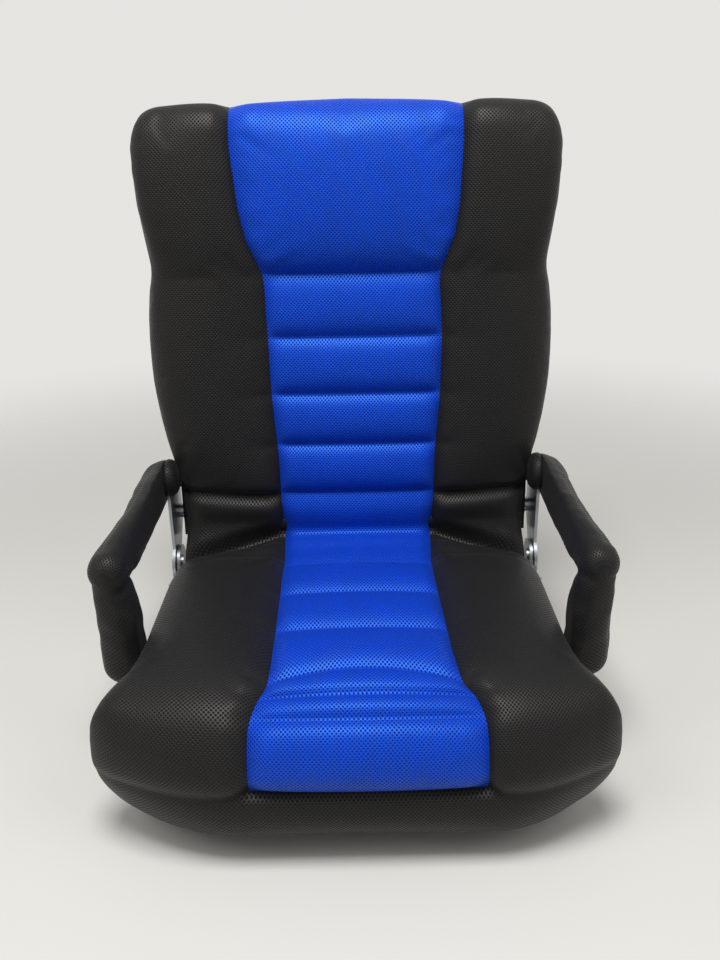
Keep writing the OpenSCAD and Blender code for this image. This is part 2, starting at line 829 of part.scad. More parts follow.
module pawl_right() color(zinc) plate_at(back_plate_x, plate_t) pawl_shape();

module pawl_left() left_side() pawl_right();

spring_t = 0.8;
spring_boss_r = 3;
spring_touch_share = 0.6;
spring_boss_share = 0.45;

// A leaf that presses the pawl's nose up, bent round a boss on the seat plate
module pawl_springs() {
    run = pawl_nose - pawl_pivot;
    side = [-run[1], run[0]] / norm(run);
    clear = mix(pawl_r, nose_r, spring_touch_share) + rest_gap + spring_t;
    touch = pawl_pivot + run * spring_touch_share - side * clear;
    boss = [mix(foot_front, seat_rear, 0.5), mix(frame_top, pawl_pivot[1], spring_boss_share)];
    reach = touch - boss;
    across = [-reach[1], reach[0]] / norm(reach) * spring_t / 2;
    color(zinc)
        both_sides() {
            at_yz(boss) along_x(seat_plate_x + plate_t, back_plate_x + plate_t, spring_boss_r);
            plate_at(back_plate_x + plate_gap, plate_t - 2 * plate_gap)
                polygon([boss - across, boss + across, touch + across, touch - across]);
        }
}

// Back, in its own frame: y is [ahead, behind] the hinge, z the height over it, and it leans last

module on_back() translate([0, hinge_y, hinge_z]) rotate([-lean, 0, 0]) children();

rear_pivot_local = turned([0, crank], lean);
strip_w = 30;
back_bolt_shares = [0.5, 0.86]; // heights of the frame bolts, as shares of the crank
tube_mid = back_frame_set + frame_tube / 2;
flag_margin = 12;

module back_plate_outline(grow) {
    low = crank * back_bolt_shares[0] - flag_margin - grow;
    high = crank * back_bolt_shares[1] + flag_margin + grow;
    circle(r = hub_r + grow, $fn = round_fn * 2);
    rotate(lean) translate([-strip_w / 2 - grow, 0]) square([strip_w + 2 * grow, crank]);
    translate(rear_pivot_local) circle(r = strip_w / 2 + plate_gap + grow, $fn = round_fn);
    polygon([
        [0, 0], [hub_r / 2 + grow, 0], [tube_mid + flag_margin + grow, low],
        [tube_mid + flag_margin + grow, high], [0, high]
    ]);
}

module hinge_back_plates() {
    start = atan2(notch_at[1], notch_at[0]) + lean;
    color(zinc)
        on_back()
            both_sides()
                plate_at(back_plate_x, plate_t)
                    difference() {
                        back_plate_outline(0);
                        for (k = [0:notch_count - 1])
                            translate(polar(norm(notch_at), start + k * notch_step))
                                circle(r = nose_r + notch_gap, $fn = 24);
                        translate(polar(norm(notch_at), start - forward_tip))
                            circle(r = nose_r + notch_gap, $fn = 24);
                        polygon([
                            each [for (a = [0:forward_tip]) polar(norm(notch_at) - nose_r - notch_gap, start - a)],
                            each [for (a = [forward_tip:-1:0]) polar(hub_r + nose_r, start - a)]
                        ]);
                        circle(d = hinge_pivot_d + 2 * run_gap, $fn = round_fn);
                        translate(rear_pivot_local) circle(d = arm_pivot_d + 2 * run_gap, $fn = round_fn);
                        for (s = back_bolt_shares)
                            translate([tube_mid, crank * s])
                                circle(d = frame_bolt_d + 2 * run_gap, $fn = round_fn);
                    }
}

back_tube_bottom = 30;
back_tube_h = back_frame_h - back_tube_bottom;

module back_tube_right() {
    color(black_steel)
        on_back()
            difference() {
                translate([rail_x - frame_tube, back_frame_set, back_tube_bottom])
                    square_tube([frame_tube, frame_tube, back_tube_h], 2);
                for (s = back_bolt_shares)
                    at_yz([tube_mid, crank * s])
                        along_x(rail_x - frame_tube - cut, rail_x + cut, frame_bolt_d / 2 + run_gap);
            }
}

module back_tube_left() left_side() back_tube_right();

module back_bar_at(z) {
    inner = rail_x - frame_tube;
    translate([-inner, back_frame_set, z]) square_tube([2 * inner, frame_tube, frame_tube], 0);
}

module back_top_tube() color(black_steel) on_back() back_bar_at(back_frame_h - frame_tube);

upper_bar_share = 0.46;
lower_bar_z = crank * (back_bolt_shares[0] + back_bolt_shares[1]) / 2 - frame_tube / 2; // between the bolts

module back_cross_bars() {
    color(black_steel)
        on_back() {
            back_bar_at(lower_bar_z);
            back_bar_at(mix(back_tube_bottom, back_frame_h, upper_bar_share));
        }
}

module back_straps() {
    first = back_tube_bottom + strap_w;
    last = back_frame_h - strap_w;
    color(webbing_black)
        on_back()
            for (k = [0:strap_count - 1])
                translate([
                    -rail_x, back_frame_set - strap_t, mix(first, last, k / (strap_count - 1)) - strap_w / 2
                ])
                    cube([2 * rail_x, strap_t, strap_w]);
}

// The back's top roll, from the rear: [share of the depth, share of the height, share of the rounding,
// angle of the rounding]
back_roll_shares = [
    [0.58, 0.982, 0.4, 116], [0.3, 0.996, 0.6, 107], [0, 1, 0.7, 86], [-0.3, 0.992, 0.75, 63],
    [-0.47, 0.974, 0.8, 32], [-0.55, 0.95, 0.9, 13]
];
// Swell of the face past the plane of the back, as a share of the headrest's swell
back_swell_shares = [
    [0.06, -1.1], [0.09, -0.35], [0.15, 0], [0.6, 0], [0.66, 0.1], [0.7, 0.6], [0.77, 1], [0.87, 1],
    [0.95, 0.7]
];
// Seams across the back, from the top down: the headrest's, the channels' and the crease's
back_seam_shares = [0.661, 0.529, 0.403, 0.289, 0.175, 0.092];
crease_share = back_seam_shares[len(back_seam_shares) - 1];
back_bottom_shares = [[0.078, 0.85], [0.067, 0.7]];
// Rows of the headrest: [share of the height, share of the channel's depth]
headrest_shares = [[0.92, 0], [0.87, 0], [0.8, 0], [0.74, 0], [0.69, 0.15], [0.6625, 1]];
back_width_shares = [
    [0.06, 0.85], [0.1, 0.868], [0.16, 0.878], [0.22, 0.894], [0.25, 0.915], [0.29, 0.95], [0.365, 0.98],
    [0.545, 1], [0.635, 0.982], [0.71, 0.951], [0.79, 0.97], [0.865, 0.978], [0.93, 0.974], [0.96, 0.955],
    [0.982, 0.91], [1, 0.85]
];
back_rear_shares = [[0.06, 0.8], [0.12, 0.92], [0.2, 1], [0.7, 1], [0.9, 0.87], [0.97, 0.68]];
headrest_panel_shares = [[0.64, 0], [0.68, 0.12], [0.74, 0.5], [0.82, 0.76], [0.92, 0.92], [1, 1]];

function back_z(share) = back_h * share;
function back_y(share) = -back_face - headrest_swell * eased(share, back_swell_shares, ease);

// Rows of the back from its top down: [y, z, share of the rounding, channel dip, angle of the rounding]
back_rows = [
    for (p = back_roll_shares) [back_depth * p[0], back_z(p[1]), p[2], 0, p[3]],
    for (p = headrest_shares) [back_y(p[0]), back_z(p[0]), 1, channel_depth * p[1], 0],
    for (k = [0:len(back_seam_shares) - 2], f = channel_step_shares)
        let (s = mix(back_seam_shares[k], back_seam_shares[k + 1], f))
        [back_y(s), back_z(s), 1, channel_dip(f), 0],
    [back_y(crease_share), back_z(crease_share), 1, channel_depth, 0],
    for (p = back_bottom_shares) [back_y(p[0]), back_z(p[0]), p[1], 0, 0],
    [back_y(back_bottom_shares[1][0]) + edge_round / 2, back_bottom, 0.5, 0, 0]
];
headrest_first_row = 1;
headrest_last_row = len(back_roll_shares) + len(headrest_shares);
back_panel_last_row = headrest_last_row + len(channel_step_shares) * (len(back_seam_shares) - 1);

back_half_w = seat_frame_w / 2 + back_overhang;

function back_half(share) = back_half_w * eased(share, back_width_shares, ease / 2);
function back_panel_half(share) =
    back_panel_half_w + headrest_flare * eased(share, headrest_panel_shares, ease);

function back_point(i, x, off, drop = 0) =
    let (row = back_rows[i], n = outward(back_rows, i) * off - rounding_way(row[4]) * drop)
    [x, row[0] + n[0], row[1] + n[1]];

function back_columns(i) =
    let (
        row = back_rows[i],
        share = row[1] / back_h,
        p = back_panel_half(share) + panel_gap,
        w = back_half(share),
        panelled = i >= headrest_first_row && i <= back_panel_last_row,
        first_drop = cushion_column_shares[0][1] * edge_round * row[2]
    )
    [
        panelled ? [p, -panel_t - rest_gap - row[3], 0] : [p, 0, first_drop],
        for (c = cushion_column_shares)
            [mix(p + step_w, w, c[0]), c[2] * bolster_swell * row[2], c[1] * edge_round * row[2]]
    ];

back_top_share = 0.965;

// The rear face of the back cushion at row i, as far out as lift
function back_under(i, x, lift) =
    let (
        share = mix(back_top_share, back_bottom / back_h + ease / 2, i / (len(back_rows) - 1)),
        edge = pow(abs(x) / back_half_w, 4) * edge_round / 2
    )
    [x, back_depth * eased(share, back_rear_shares, ease) - edge + lift, back_z(share)];

module back_cushion() {
    pocket = back_frame_set - strap_t - rest_gap;
    color(black_mesh)
        on_back()
            difference() {
                sheet(
                    [
                        for (i = [0:len(back_rows) - 1])
                            [for (c = mirrored(back_columns(i))) back_point(i, c[0], c[1], c[2])]
                    ],
                    [
                        for (i = [0:len(back_rows) - 1])
                            [for (c = mirrored(back_columns(i))) back_under(i, c[0] * under_narrow, 0)]
                    ]
                );
                translate([-rail_x - rest_gap, pocket, back_tube_bottom - rest_gap])
                    cube([
                        2 * (rail_x + rest_gap), back_frame_set + frame_tube + rest_gap - pocket,
                        back_tube_h + 2 * rest_gap
                    ]);
            }
}

function back_panel_row(i, under) =
    let (row = back_rows[i], p = back_panel_half(row[1] / back_h))
    [
        for (c = panel_column_shares)
            back_point(i, c[0] * p, -row[3] - (under > 0 ? under : c[1] * seam_dip))
    ];

module back_centre_panel() {
    rows = [headrest_last_row:back_panel_last_row];
    color(blue_mesh)
        on_back()
            sheet([for (i = rows) back_panel_row(i, 0)], [for (i = rows) back_panel_row(i, panel_t)]);
}

// The headrest's own blue panel ends just above the seam where the channelled one starts
module headrest_panel() {
    rows = [headrest_first_row:headrest_last_row - 1];
    color(blue_mesh)
        on_back()
            sheet([for (i = rows) back_panel_row(i, 0)], [for (i = rows) back_panel_row(i, panel_t)]);
}

rear_cover_rows = [2:2:len(back_rows) - 6];
cover_gap = 1.3;
// Which of the cushion's columns the cover is drawn on
rear_cover_ends = [2, 3, 5, 8, 10, 11];

function rear_cover_row(i, lift) =
    let (cols = mirrored(back_columns(i)))
    [for (k = rear_cover_ends) back_under(i, cols[k][0] * under_narrow, lift)];

module back_rear_cover() {
    color(black_mesh)
        on_back()
            sheet(
                [for (i = rear_cover_rows) rear_cover_row(i, cover_gap)],
                [for (i = rear_cover_rows) rear_cover_row(i, cover_gap + cover_t)]
            );
}

spacer_w = 20;

module back_plate_spacers() {
    color(zinc)
        on_back()
            both_sides()
                for (s = back_bolt_shares)
                    at_yz([tube_mid, crank * s])
                        difference() {
                            along_x(rail_x, back_plate_x, spacer_w / 2);
                            along_x(rail_x - cut, back_plate_x + cut, frame_bolt_d / 2 + run_gap);
                        }
}

module back_plate_bolts() {
    outside = back_plate_x + plate_t;
    color(zinc)
        on_back()
            both_sides()
                for (s = back_bolt_shares)
                    at_yz([tube_mid, crank * s]) {
                        along_x(rail_x - frame_tube - nut_h(frame_bolt_d), outside, frame_bolt_d / 2);
                        along_x(outside, outside + dome_h, frame_bolt_d * head_w_share / 2);
                    }
}

module back_plate_nuts() {
    color(zinc)
        on_back()
            both_sides()
                for (s = back_bolt_shares)
                    at_yz([tube_mid, crank * s])
                        nut_along_x(rail_x - frame_tube - nut_h(frame_bolt_d), frame_bolt_d);
}

// Arms. The bar hangs on the back's plate and the elbow, the post on the elbow and the arm bracket

stud_out = 2;

module arm_rear_studs() {
    color(zinc)
        both_sides()
            at_yz(rear_pivot)
                along_x(back_plate_x, lug_x + plate_t + nut_h(arm_pivot_d) + stud_out, arm_pivot_d / 2);
}

module arm_rear_nuts() {
    color(zinc)
        both_sides() at_yz(rear_pivot) nut_along_x(lug_x + plate_t + rest_gap, arm_pivot_d);
}

module arm_front_studs() {
    color(zinc)
        both_sides()
            at_yz(front_pivot)
                along_x(
                    seat_plate_x, front_lug_x + plate_t + nut_h(arm_pivot_d) + stud_out, arm_pivot_d / 2
                );
}

module arm_front_nuts() {
    color(zinc)
        both_sides() at_yz(front_pivot) nut_along_x(front_lug_x + plate_t + rest_gap, arm_pivot_d);
}

// Elbow planes: the post's lug runs inside the bar's
post_elbow_x = elbow_x - plate_gap / 2 - plate_t;
bar_elbow_x = elbow_x + plate_gap / 2;
tube_start = 26; // distance of a tube's end from its pivot
cavity_r = lug_r + 2;
far = 800;

function toward(a, b, d) = a + (b - a) / norm(b - a) * d;
function place(x, p) = [x, p[0], p[1]];

module arm_lug(x0, p, end, grow) {
    d = end - p;
    plate_at(x0 - grow, plate_t + 2 * grow)
        translate(p)
            rotate(atan2(d[1], d[0])) {
                circle(r = lug_r + grow, $fn = round_fn);
                translate([0, -lug_r - grow]) square([lug_len + grow, 2 * (lug_r + grow)]);
            }
}

module arm_bore(p) {
    at_yz(p) along_x(seat_plate_x, elbow_x + sleeve_r, arm_pivot_d / 2 + run_gap);
}

module bar_shape(grow) {
    arm_lug(lug_x, rear_pivot, elbow, grow);
    arm_lug(bar_elbow_x, elbow, rear_pivot, grow);
    rod(
        place(lug_x + plate_gap + arm_tube_r, toward(rear_pivot, elbow, tube_start - grow)),
        place(bar_elbow_x - plate_gap, toward(elbow, rear_pivot, tube_start - grow)), arm_tube_r + grow
    );
}

module arm_bar_right() {
    color(black_steel)
        difference() {
            bar_shape(0);
            arm_bore(rear_pivot);
            arm_bore(elbow);
        }
}

module arm_bar_left() left_side() arm_bar_right();

module post_shape(grow) {
    arm_lug(front_lug_x, front_pivot, elbow, grow);
    arm_lug(post_elbow_x, elbow, front_pivot, grow);
    rod(
        place(front_lug_x + 2 * plate_gap + arm_tube_r, toward(front_pivot, elbow, tube_start - grow)),
        place(post_elbow_x - 2 * plate_gap, toward(elbow, front_pivot, tube_start - grow)),
        arm_tube_r + grow
    );
}

module arm_post_right() {
    color(black_steel)
        difference() {
            post_shape(0);
            arm_bore(front_pivot);
            arm_bore(elbow);
        }
}

module arm_post_left() left_side() arm_post_right();

// Fixed in the bar's lug, with the post's lug turning on it
module elbow_rivet_right() {
    head_in = post_elbow_x - rest_gap;
    head_out = bar_elbow_x + plate_t;
    color(zinc)
        at_yz(elbow) {
            along_x(head_in, head_out, arm_pivot_d / 2);
            along_x(head_in - dome_h, head_in, arm_pivot_d * head_w_share / 2);
            along_x(head_out, head_out + dome_h, arm_pivot_d * head_w_share / 2);
        }
}

module elbow_rivet_left() left_side() elbow_rivet_right();

// Padded fabric sleeve over the bar, open underneath its elbow where the post swings
module arm_bar_sleeve_right() {
    elbow_in = post_elbow_x - dome_h - 2 * rest_gap;
    color(black_mesh)
        difference() {
            intersection() {
                capsule(place(elbow_x, elbow), place(sleeve_x, rear_pivot), sleeve_r);
                translate([sleeve_x, -far, 0]) cube([far, 2 * far, far]);
            }
            bar_shape(rest_gap);
            at_yz(rear_pivot)
                along_x(
                    sleeve_x - cut, lug_x + plate_t + nut_h(arm_pivot_d) + stud_out + plate_gap, cavity_r
                );
            at_yz(elbow) along_x(elbow_in, bar_elbow_x + plate_t + dome_h + plate_gap, cavity_r);
            translate([elbow_in, elbow[0] + cavity_r + stud_out - far, elbow[1] + cavity_r - far])
                cube([bar_elbow_x - rest_gap - elbow_in, far, far]);
        }
}

module arm_bar_sleeve_left() left_side() arm_bar_sleeve_right();

post_sleeve_top = 26; // distance of the post's sleeve from the elbow
post_sleeve_out = 9; // how far the sleeve's foot stands outside its lug

module arm_post_sleeve_right() {
    color(black_mesh)
        difference() {
            intersection() {
                capsule(
                    place(elbow_x - plate_t, elbow), place(front_lug_x + post_sleeve_out, front_pivot),
                    sleeve_r - plate_gap
                );
                translate([front_lug_x - rest_gap, -far, elbow[1] - post_sleeve_top - far])
                    cube([far, 2 * far, far]);
            }
            post_shape(rest_gap);
            at_yz(front_pivot)
                along_x(
                    seat_plate_x, front_lug_x + plate_t + nut_h(arm_pivot_d) + stud_out + plate_gap, cavity_r
                );
        }
}

module arm_post_sleeve_left() left_side() arm_post_sleeve_right();

// The fabric boots that close the sleeves over the tops of the back plates
boot_in = 5;

module arm_boots() {
    color(black_mesh)
        both_sides()
            difference() {
                intersection() {
                    at_yz(rear_pivot)
                        translate([sleeve_x - rest_gap, 0, 0]) sphere(r = sleeve_r, $fn = round_fn);
                    translate([back_plate_x - boot_in, 0, 0])
                        cube([sleeve_x - rest_gap - back_plate_x + boot_in, far, far]);
                }
                on_back()
                    plate_at(back_plate_x - rest_gap, plate_t + 2 * plate_gap)
                        back_plate_outline(rest_gap);
            }
}

base_ring();
base_cross_bars();
base_feet();
swivel_lower_plate();
swivel_lower_bolts();
swivel_lower_nuts();
swivel_rivet();
swivel_balls();
swivel_ball_cage();
swivel_upper_plate();
swivel_upper_bolts();
swivel_upper_nuts();
seat_rail_left();
seat_rail_right();
seat_front_rail();
seat_rear_rail();
seat_cross_bars();
seat_straps();
seat_cushion();
seat_centre_panel();
seat_dust_cover();
hinge_seat_plates();
arm_brackets();
rail_bolts();
rail_nuts();
hinge_pivots();
pawl_pins();
pawl_springs();
arm_front_studs();
arm_front_nuts();
pawl_left();
pawl_right();
hinge_back_plates();
back_tube_left();
back_tube_right();
back_top_tube();
back_cross_bars();
back_straps();
back_cushion();
back_centre_panel();
headrest_panel();
back_rear_cover();
back_plate_spacers();
back_plate_bolts();
back_plate_nuts();
arm_rear_studs();
arm_rear_nuts();
arm_boots();
arm_bar_left();
arm_bar_right();
arm_bar_sleeve_left();
arm_bar_sleeve_right();
elbow_rivet_left();
elbow_rivet_right();
arm_post_left();
arm_post_right();
arm_post_sleeve_left();
arm_post_sleeve_right();
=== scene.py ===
import math

import bmesh
import bpy
import numpy as np
from mathutils import Matrix, Vector, noise


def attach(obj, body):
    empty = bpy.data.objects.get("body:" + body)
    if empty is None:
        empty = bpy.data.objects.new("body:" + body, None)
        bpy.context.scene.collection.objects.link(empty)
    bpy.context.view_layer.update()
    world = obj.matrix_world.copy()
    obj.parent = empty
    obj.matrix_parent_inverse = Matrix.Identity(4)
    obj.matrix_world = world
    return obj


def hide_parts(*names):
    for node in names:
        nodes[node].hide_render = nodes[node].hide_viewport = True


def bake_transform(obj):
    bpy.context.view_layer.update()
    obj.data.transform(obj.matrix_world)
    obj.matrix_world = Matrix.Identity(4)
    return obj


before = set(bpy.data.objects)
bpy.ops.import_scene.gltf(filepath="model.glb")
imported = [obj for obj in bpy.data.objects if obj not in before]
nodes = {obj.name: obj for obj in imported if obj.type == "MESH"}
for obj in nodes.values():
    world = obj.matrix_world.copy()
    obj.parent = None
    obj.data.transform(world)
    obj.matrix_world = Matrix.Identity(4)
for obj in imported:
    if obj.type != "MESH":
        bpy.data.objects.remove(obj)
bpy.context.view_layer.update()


# Camera
# It stands in front of the chair, nearly as high as the top of its back, and looks down at it, tipped very
# slightly to one side, as the photograph was taken.
eye = Vector((0.009, -0.940, 0.731))
look_down = math.radians(22.3)
tip = 0.0186
focal_length = 33.0
camera_data = bpy.data.cameras.new("camera")
camera_data.lens = focal_length
camera = bpy.data.objects.new("camera", camera_data)
bpy.context.scene.collection.objects.link(camera)
camera.matrix_world = (
    Matrix.Translation(eye)
    @ Matrix.Rotation(math.pi / 2 - look_down, 4, "X")
    @ Matrix.Rotation(-tip, 4, "Z")
)
bpy.context.scene.camera = camera
bpy.context.scene.view_settings.view_transform = "Standard"


# Floor
# A wide, pale, matt floor with nothing on it. It fades into the pale room before its edge, and from below
# it can be seen through.
def linear(code):
    """A colour written as sRGB hex, as linear red, green, blue and alpha."""
    out = []
    for k in (0, 2, 4):
        c = int(code[k : k + 2], 16) / 255
        out.append(c / 12.92 if c <= 0.04045 else ((c + 0.055) / 1.055) ** 2.4)
    return (*out, 1.0)


def join(tree, node, links):
    """Sets inputs of a node to values, or joins them to other sockets."""
    for name, value in links.items():
        socket = node.inputs[name]
        if isinstance(value, bpy.types.NodeSocket):
            tree.links.new(value, socket)
        else:
            socket.default_value = value


def add(tree, kind, links=None, **settings):
    """One node of a tree, with its inputs and its settings."""
    node = tree.nodes.new("ShaderNode" + kind)
    for name, value in settings.items():
        setattr(node, name, value)
    join(tree, node, links or {})
    return node


def new_material(name):
    """A new material, its tree and its shader."""
    material = bpy.data.materials.new(name)
    material.use_nodes = True
    return material, material.node_tree, material.node_tree.nodes["Principled BSDF"]


def piece_of(bm, name, *materials, smooth=True):
    """A new piece from a bmesh, smooth or flat all over, with its materials."""
    mesh = bpy.data.meshes.new(name)
    bm.to_mesh(mesh)
    bm.free()
    for polygon in mesh.polygons:
        polygon.use_smooth = smooth
    for material in materials:
        mesh.materials.append(material)
    piece = bpy.data.objects.new(name, mesh)
    bpy.context.scene.collection.objects.link(piece)
    return piece


floor_radius, floor_segments = 6.0, 96
fade_from, fade_to = 0.75, 2.1
bm = bmesh.new()
bmesh.ops.create_circle(bm, cap_ends=True, segments=floor_segments, radius=floor_radius)
paper, tree, shader = new_material("matt_floor")
join(tree, shader, {"Base Color": linear("C6C5C1"), "Roughness": 0.9})
from_middle = add(tree, "VectorMath", {0: add(tree, "TexCoord").outputs["Object"]}, operation="LENGTH")
fade = add(
    tree, "MapRange", {"Value": from_middle.outputs["Value"], "From Min": fade_from, "From Max": fade_to},
    interpolation_type="SMOOTHSTEP",
)
below = add(tree, "NewGeometry").outputs["Backfacing"]
gone = add(tree, "Math", {0: fade.outputs[0], 1: below}, operation="MAXIMUM")
clear = add(tree, "BsdfTransparent")
shown = add(tree, "MixShader", {0: gone.outputs[0], 1: shader.outputs[0], 2: clear.outputs[0]})
join(tree, tree.nodes["Material Output"], {"Surface": shown.outputs[0]})
piece_of(bm, "floor", paper)


# Studio light
# Three large soft boxes above the chair and a pale room all round. The room looks brighter than the light
# that it throws, so that the dark mesh keeps its form and the blue keeps its own colour.
light_thrown, light_seen = 0.44, 0.86
world = bpy.data.worlds.new("room")
world.use_nodes = True
tree = world.node_tree
ray = add(tree, "LightPath")
seen = ray.outputs["Is Camera Ray"]
for other_ray in ("Is Glossy Ray", "Is Transmission Ray"):
    seen = add(tree, "Math", {0: seen, 1: ray.outputs[other_ray]}, operation="MAXIMUM").outputs[0]
room_light = add(tree, "MapRange", {"Value": seen, "To Min": light_thrown, "To Max": light_seen})
join(tree, tree.nodes["Background"], {"Color": linear("F5F4F1"), "Strength": room_light.outputs[0]})
bpy.context.scene.world = world
for name, place, aim, size, power in (
    ("soft_box_left", (-1.4, -1.1, 2.1), (0, 0, 0.25), 1.1, 13),
    ("soft_box_right", (1.5, -1.0, 2.0), (0, 0, 0.25), 1.2, 9),
    ("soft_box_top", (-0.1, -0.8, 2.5), (0, 0, 0.3), 0.8, 58),
):
    lamp = bpy.data.lights.new(name, "AREA")
    lamp.size = size
    lamp.energy = power
    lamp_object = bpy.data.objects.new(name, lamp)
    bpy.context.scene.collection.objects.link(lamp_object)
    lamp_object.location = place
    lamp_object.rotation_euler = (Vector(aim) - Vector(place)).to_track_quat("-Z", "Y").to_euler()


# 3-D spacer mesh
# The whole cover is knitted polyester spacer mesh, black or royal blue, with staggered rows of round holes
# over its backing, which is painted darker than the yarn as the shade inside each hole. The yarn has a soft
# gloss where it is turned to the light.
mm = 0.001
hole_cell = (4.4 * mm, 4.7 * mm, 0)  # from hole to hole along a row, and from a row to the next but one
hole_radius = 1.05 * mm


def spacer_mesh(name, yarn, shaded_backing, gloss, gloss_tint):
    """Spacer mesh of one colour: two grids of holes, half a cell apart, over a backing darkened as painted
    shade.
    """
    material, tree, shader = new_material(name)
    coordinates = add(tree, "TexCoord")
    nearest = []
    for shift in (0.0, 0.5):
        scaled = add(
            tree, "VectorMath", {0: coordinates.outputs["UV"], 1: (1 / hole_cell[0], 1 / hole_cell[1], 0)},
            operation="MULTIPLY",
        )
        moved = add(tree, "VectorMath", {0: scaled.outputs[0], 1: (shift, shift, 0)}, operation="ADD")
        cell = add(tree, "VectorMath", {0: moved.outputs[0]}, operation="FRACTION")
        centred = add(tree, "VectorMath", {0: cell.outputs[0], 1: (0.5, 0.5, 0)}, operation="SUBTRACT")
        sized = add(tree, "VectorMath", {0: centred.outputs[0], 1: hole_cell}, operation="MULTIPLY")
        nearest.append(add(tree, "VectorMath", {0: sized.outputs[0]}, operation="LENGTH").outputs["Value"])
    closest = add(tree, "Math", {0: nearest[0], 1: nearest[1]}, operation="MINIMUM")
    yarn_share = add(
        tree, "MapRange",
        {"Value": closest.outputs[0], "From Min": hole_radius * 0.6, "From Max": hole_radius * 1.3},
        interpolation_type="SMOOTHSTEP",
    )
    cloud = add(tree, "TexNoise", {"Vector": coordinates.outputs["Object"], "Scale": 26.0, "Detail": 3.0})
    tone = add(tree, "MapRange", {"Value": cloud.outputs["Fac"], "To Min": 0.84, "To Max": 1.16})
    # In the holes the backing shows, painted darker than the yarn for the shade inside each hole
    tinted = add(
        tree, "Mix", {"Factor": yarn_share.outputs[0], 6: linear(shaded_backing), 7: linear(yarn)},
        data_type="RGBA",
    )
    toned = add(tree, "VectorMath", {0: tinted.outputs[2], 1: tone.outputs[0]}, operation="MULTIPLY")
    knit = add(tree, "TexNoise", {"Vector": coordinates.outputs["Object"], "Scale": 1400.0, "Detail": 1.0})
    height = add(
        tree, "Math", {0: knit.outputs["Fac"], 1: 0.15, 2: yarn_share.outputs[0]}, operation="MULTIPLY_ADD"
    )
    bump = add(tree, "Bump", {"Height": height.outputs[0], "Strength": 0.6, "Distance": 0.8 * mm})
    rough = add(tree, "MapRange", {"Value": yarn_share.outputs[0], "To Min": 0.9, "To Max": 0.44})
    join(tree, shader, {
        "Base Color": toned.outputs[0], "Normal": bump.outputs[0], "Roughness": rough.outputs[0],
        "Specular IOR Level": gloss, "Specular Tint": linear(gloss_tint),
        "Sheen Weight": 0.04, "Sheen Roughness": 0.5, "Sheen Tint": linear(gloss_tint),
    })
    return material


# The second colour of each is its backing in the holes, darker than the yarn as painted shade
black_spacer_mesh = spacer_mesh("black_spacer_mesh", "0B0B0E", "010102", 0.42, "D2CEC8")
blue_spacer_mesh = spacer_mesh("blue_spacer_mesh", "0233B4", "010F64", 1.0, "66B0FF")


# Padded cover of the seat and the back
# One cover of spacer mesh over foam, blue down the middle and black at the sides, sewn through at each
# channel of the blue. It runs from the top of the back, through the crease at the hinge, to the hem under
# the front roll. It is laid out as one sheet, swollen by air between its seams, then cut along the seams.
lean = math.radians(4.5)
hinge_y, hinge_z = 160.0, 162.0
# The front edge is curved: so far back at this half width, and how steeply
nose_curve, nose_half_width, nose_power = 72.0, 271.5, 3.2
round_width = 34.0
row_pitch = 5.6
panel_cells, bolster_cells, round_cells, wall_cells = 36, 18, 8, 14


def leaned(dy, dz):
    """A place on the leaning back, from millimetres behind and above its hinge."""
    return (
        hinge_y + dy * math.cos(lean) + dz * math.sin(lean),
        hinge_z - dy * math.sin(lean) + dz * math.cos(lean),
    )


# Stations down the back: behind the hinge, over the hinge, half width, half width of the blue, angle and
# depth of the rounded edge, and where the side wall ends: behind the hinge, over it, half width
back_stations = [
    (48, 555, 240, 139, 150, 6, 49, 552, 238),
    (44, 571, 244, 139.5, 135, 10, 50, 553, 238),
    (30, 583, 246, 139.5, 115, 13, 49, 554, 238),
    (8, 589.5, 248, 139.5, 98, 17, 48, 555, 239),
    (-14, 588, 251, 139.5, 75, 21, 47, 554, 240),
    (-28, 577, 255, 139.5, 45, 25, 47, 552, 242),
    (-34.5, 562, 258, 139.5, 20, 27, 48, 545, 246),
    (-37, 540, 261, 139.5, 0, 28, 49, 530, 250),
    (-39, 511, 261, 137, 0, 28, 50, 505, 251),
    (-39, 468, 258, 134, 0, 28, 51, 465, 249),
    (-36, 430, 252.5, 127, 0, 28, 51, 430, 245),
    (-30, 404, 249.5, 117, 0, 28, 52, 404, 243),
    (-26, 390, 250.5, 111, 0, 28, 52, 390, 243),
    (-25, 374, 255, 110, 0, 28, 53, 374, 247),
    (-25, 345, 259, 111, 0, 28, 54, 345, 250),
    (-25, 312, 261, 111, 0, 28, 55, 312, 252),
    (-25, 270, 261, 110.5, 0, 28, 55, 270, 253),
    (-25, 238, 259, 109.5, 0, 28, 55, 238, 251),
    (-25, 200, 254, 107, 0, 28, 55, 200, 246),
    (-25, 170.5, 248, 104.5, 0, 28, 55, 170, 242),
    (-25, 150, 242, 103.5, 0, 27, 55, 150, 238),
    (-25, 130, 238, 103, 0, 26, 55, 128, 235),
    (-24, 103, 234, 103, 0, 25, 54, 100, 232),
    (-22, 80, 231, 102, 0, 22, 53, 76, 230),
]
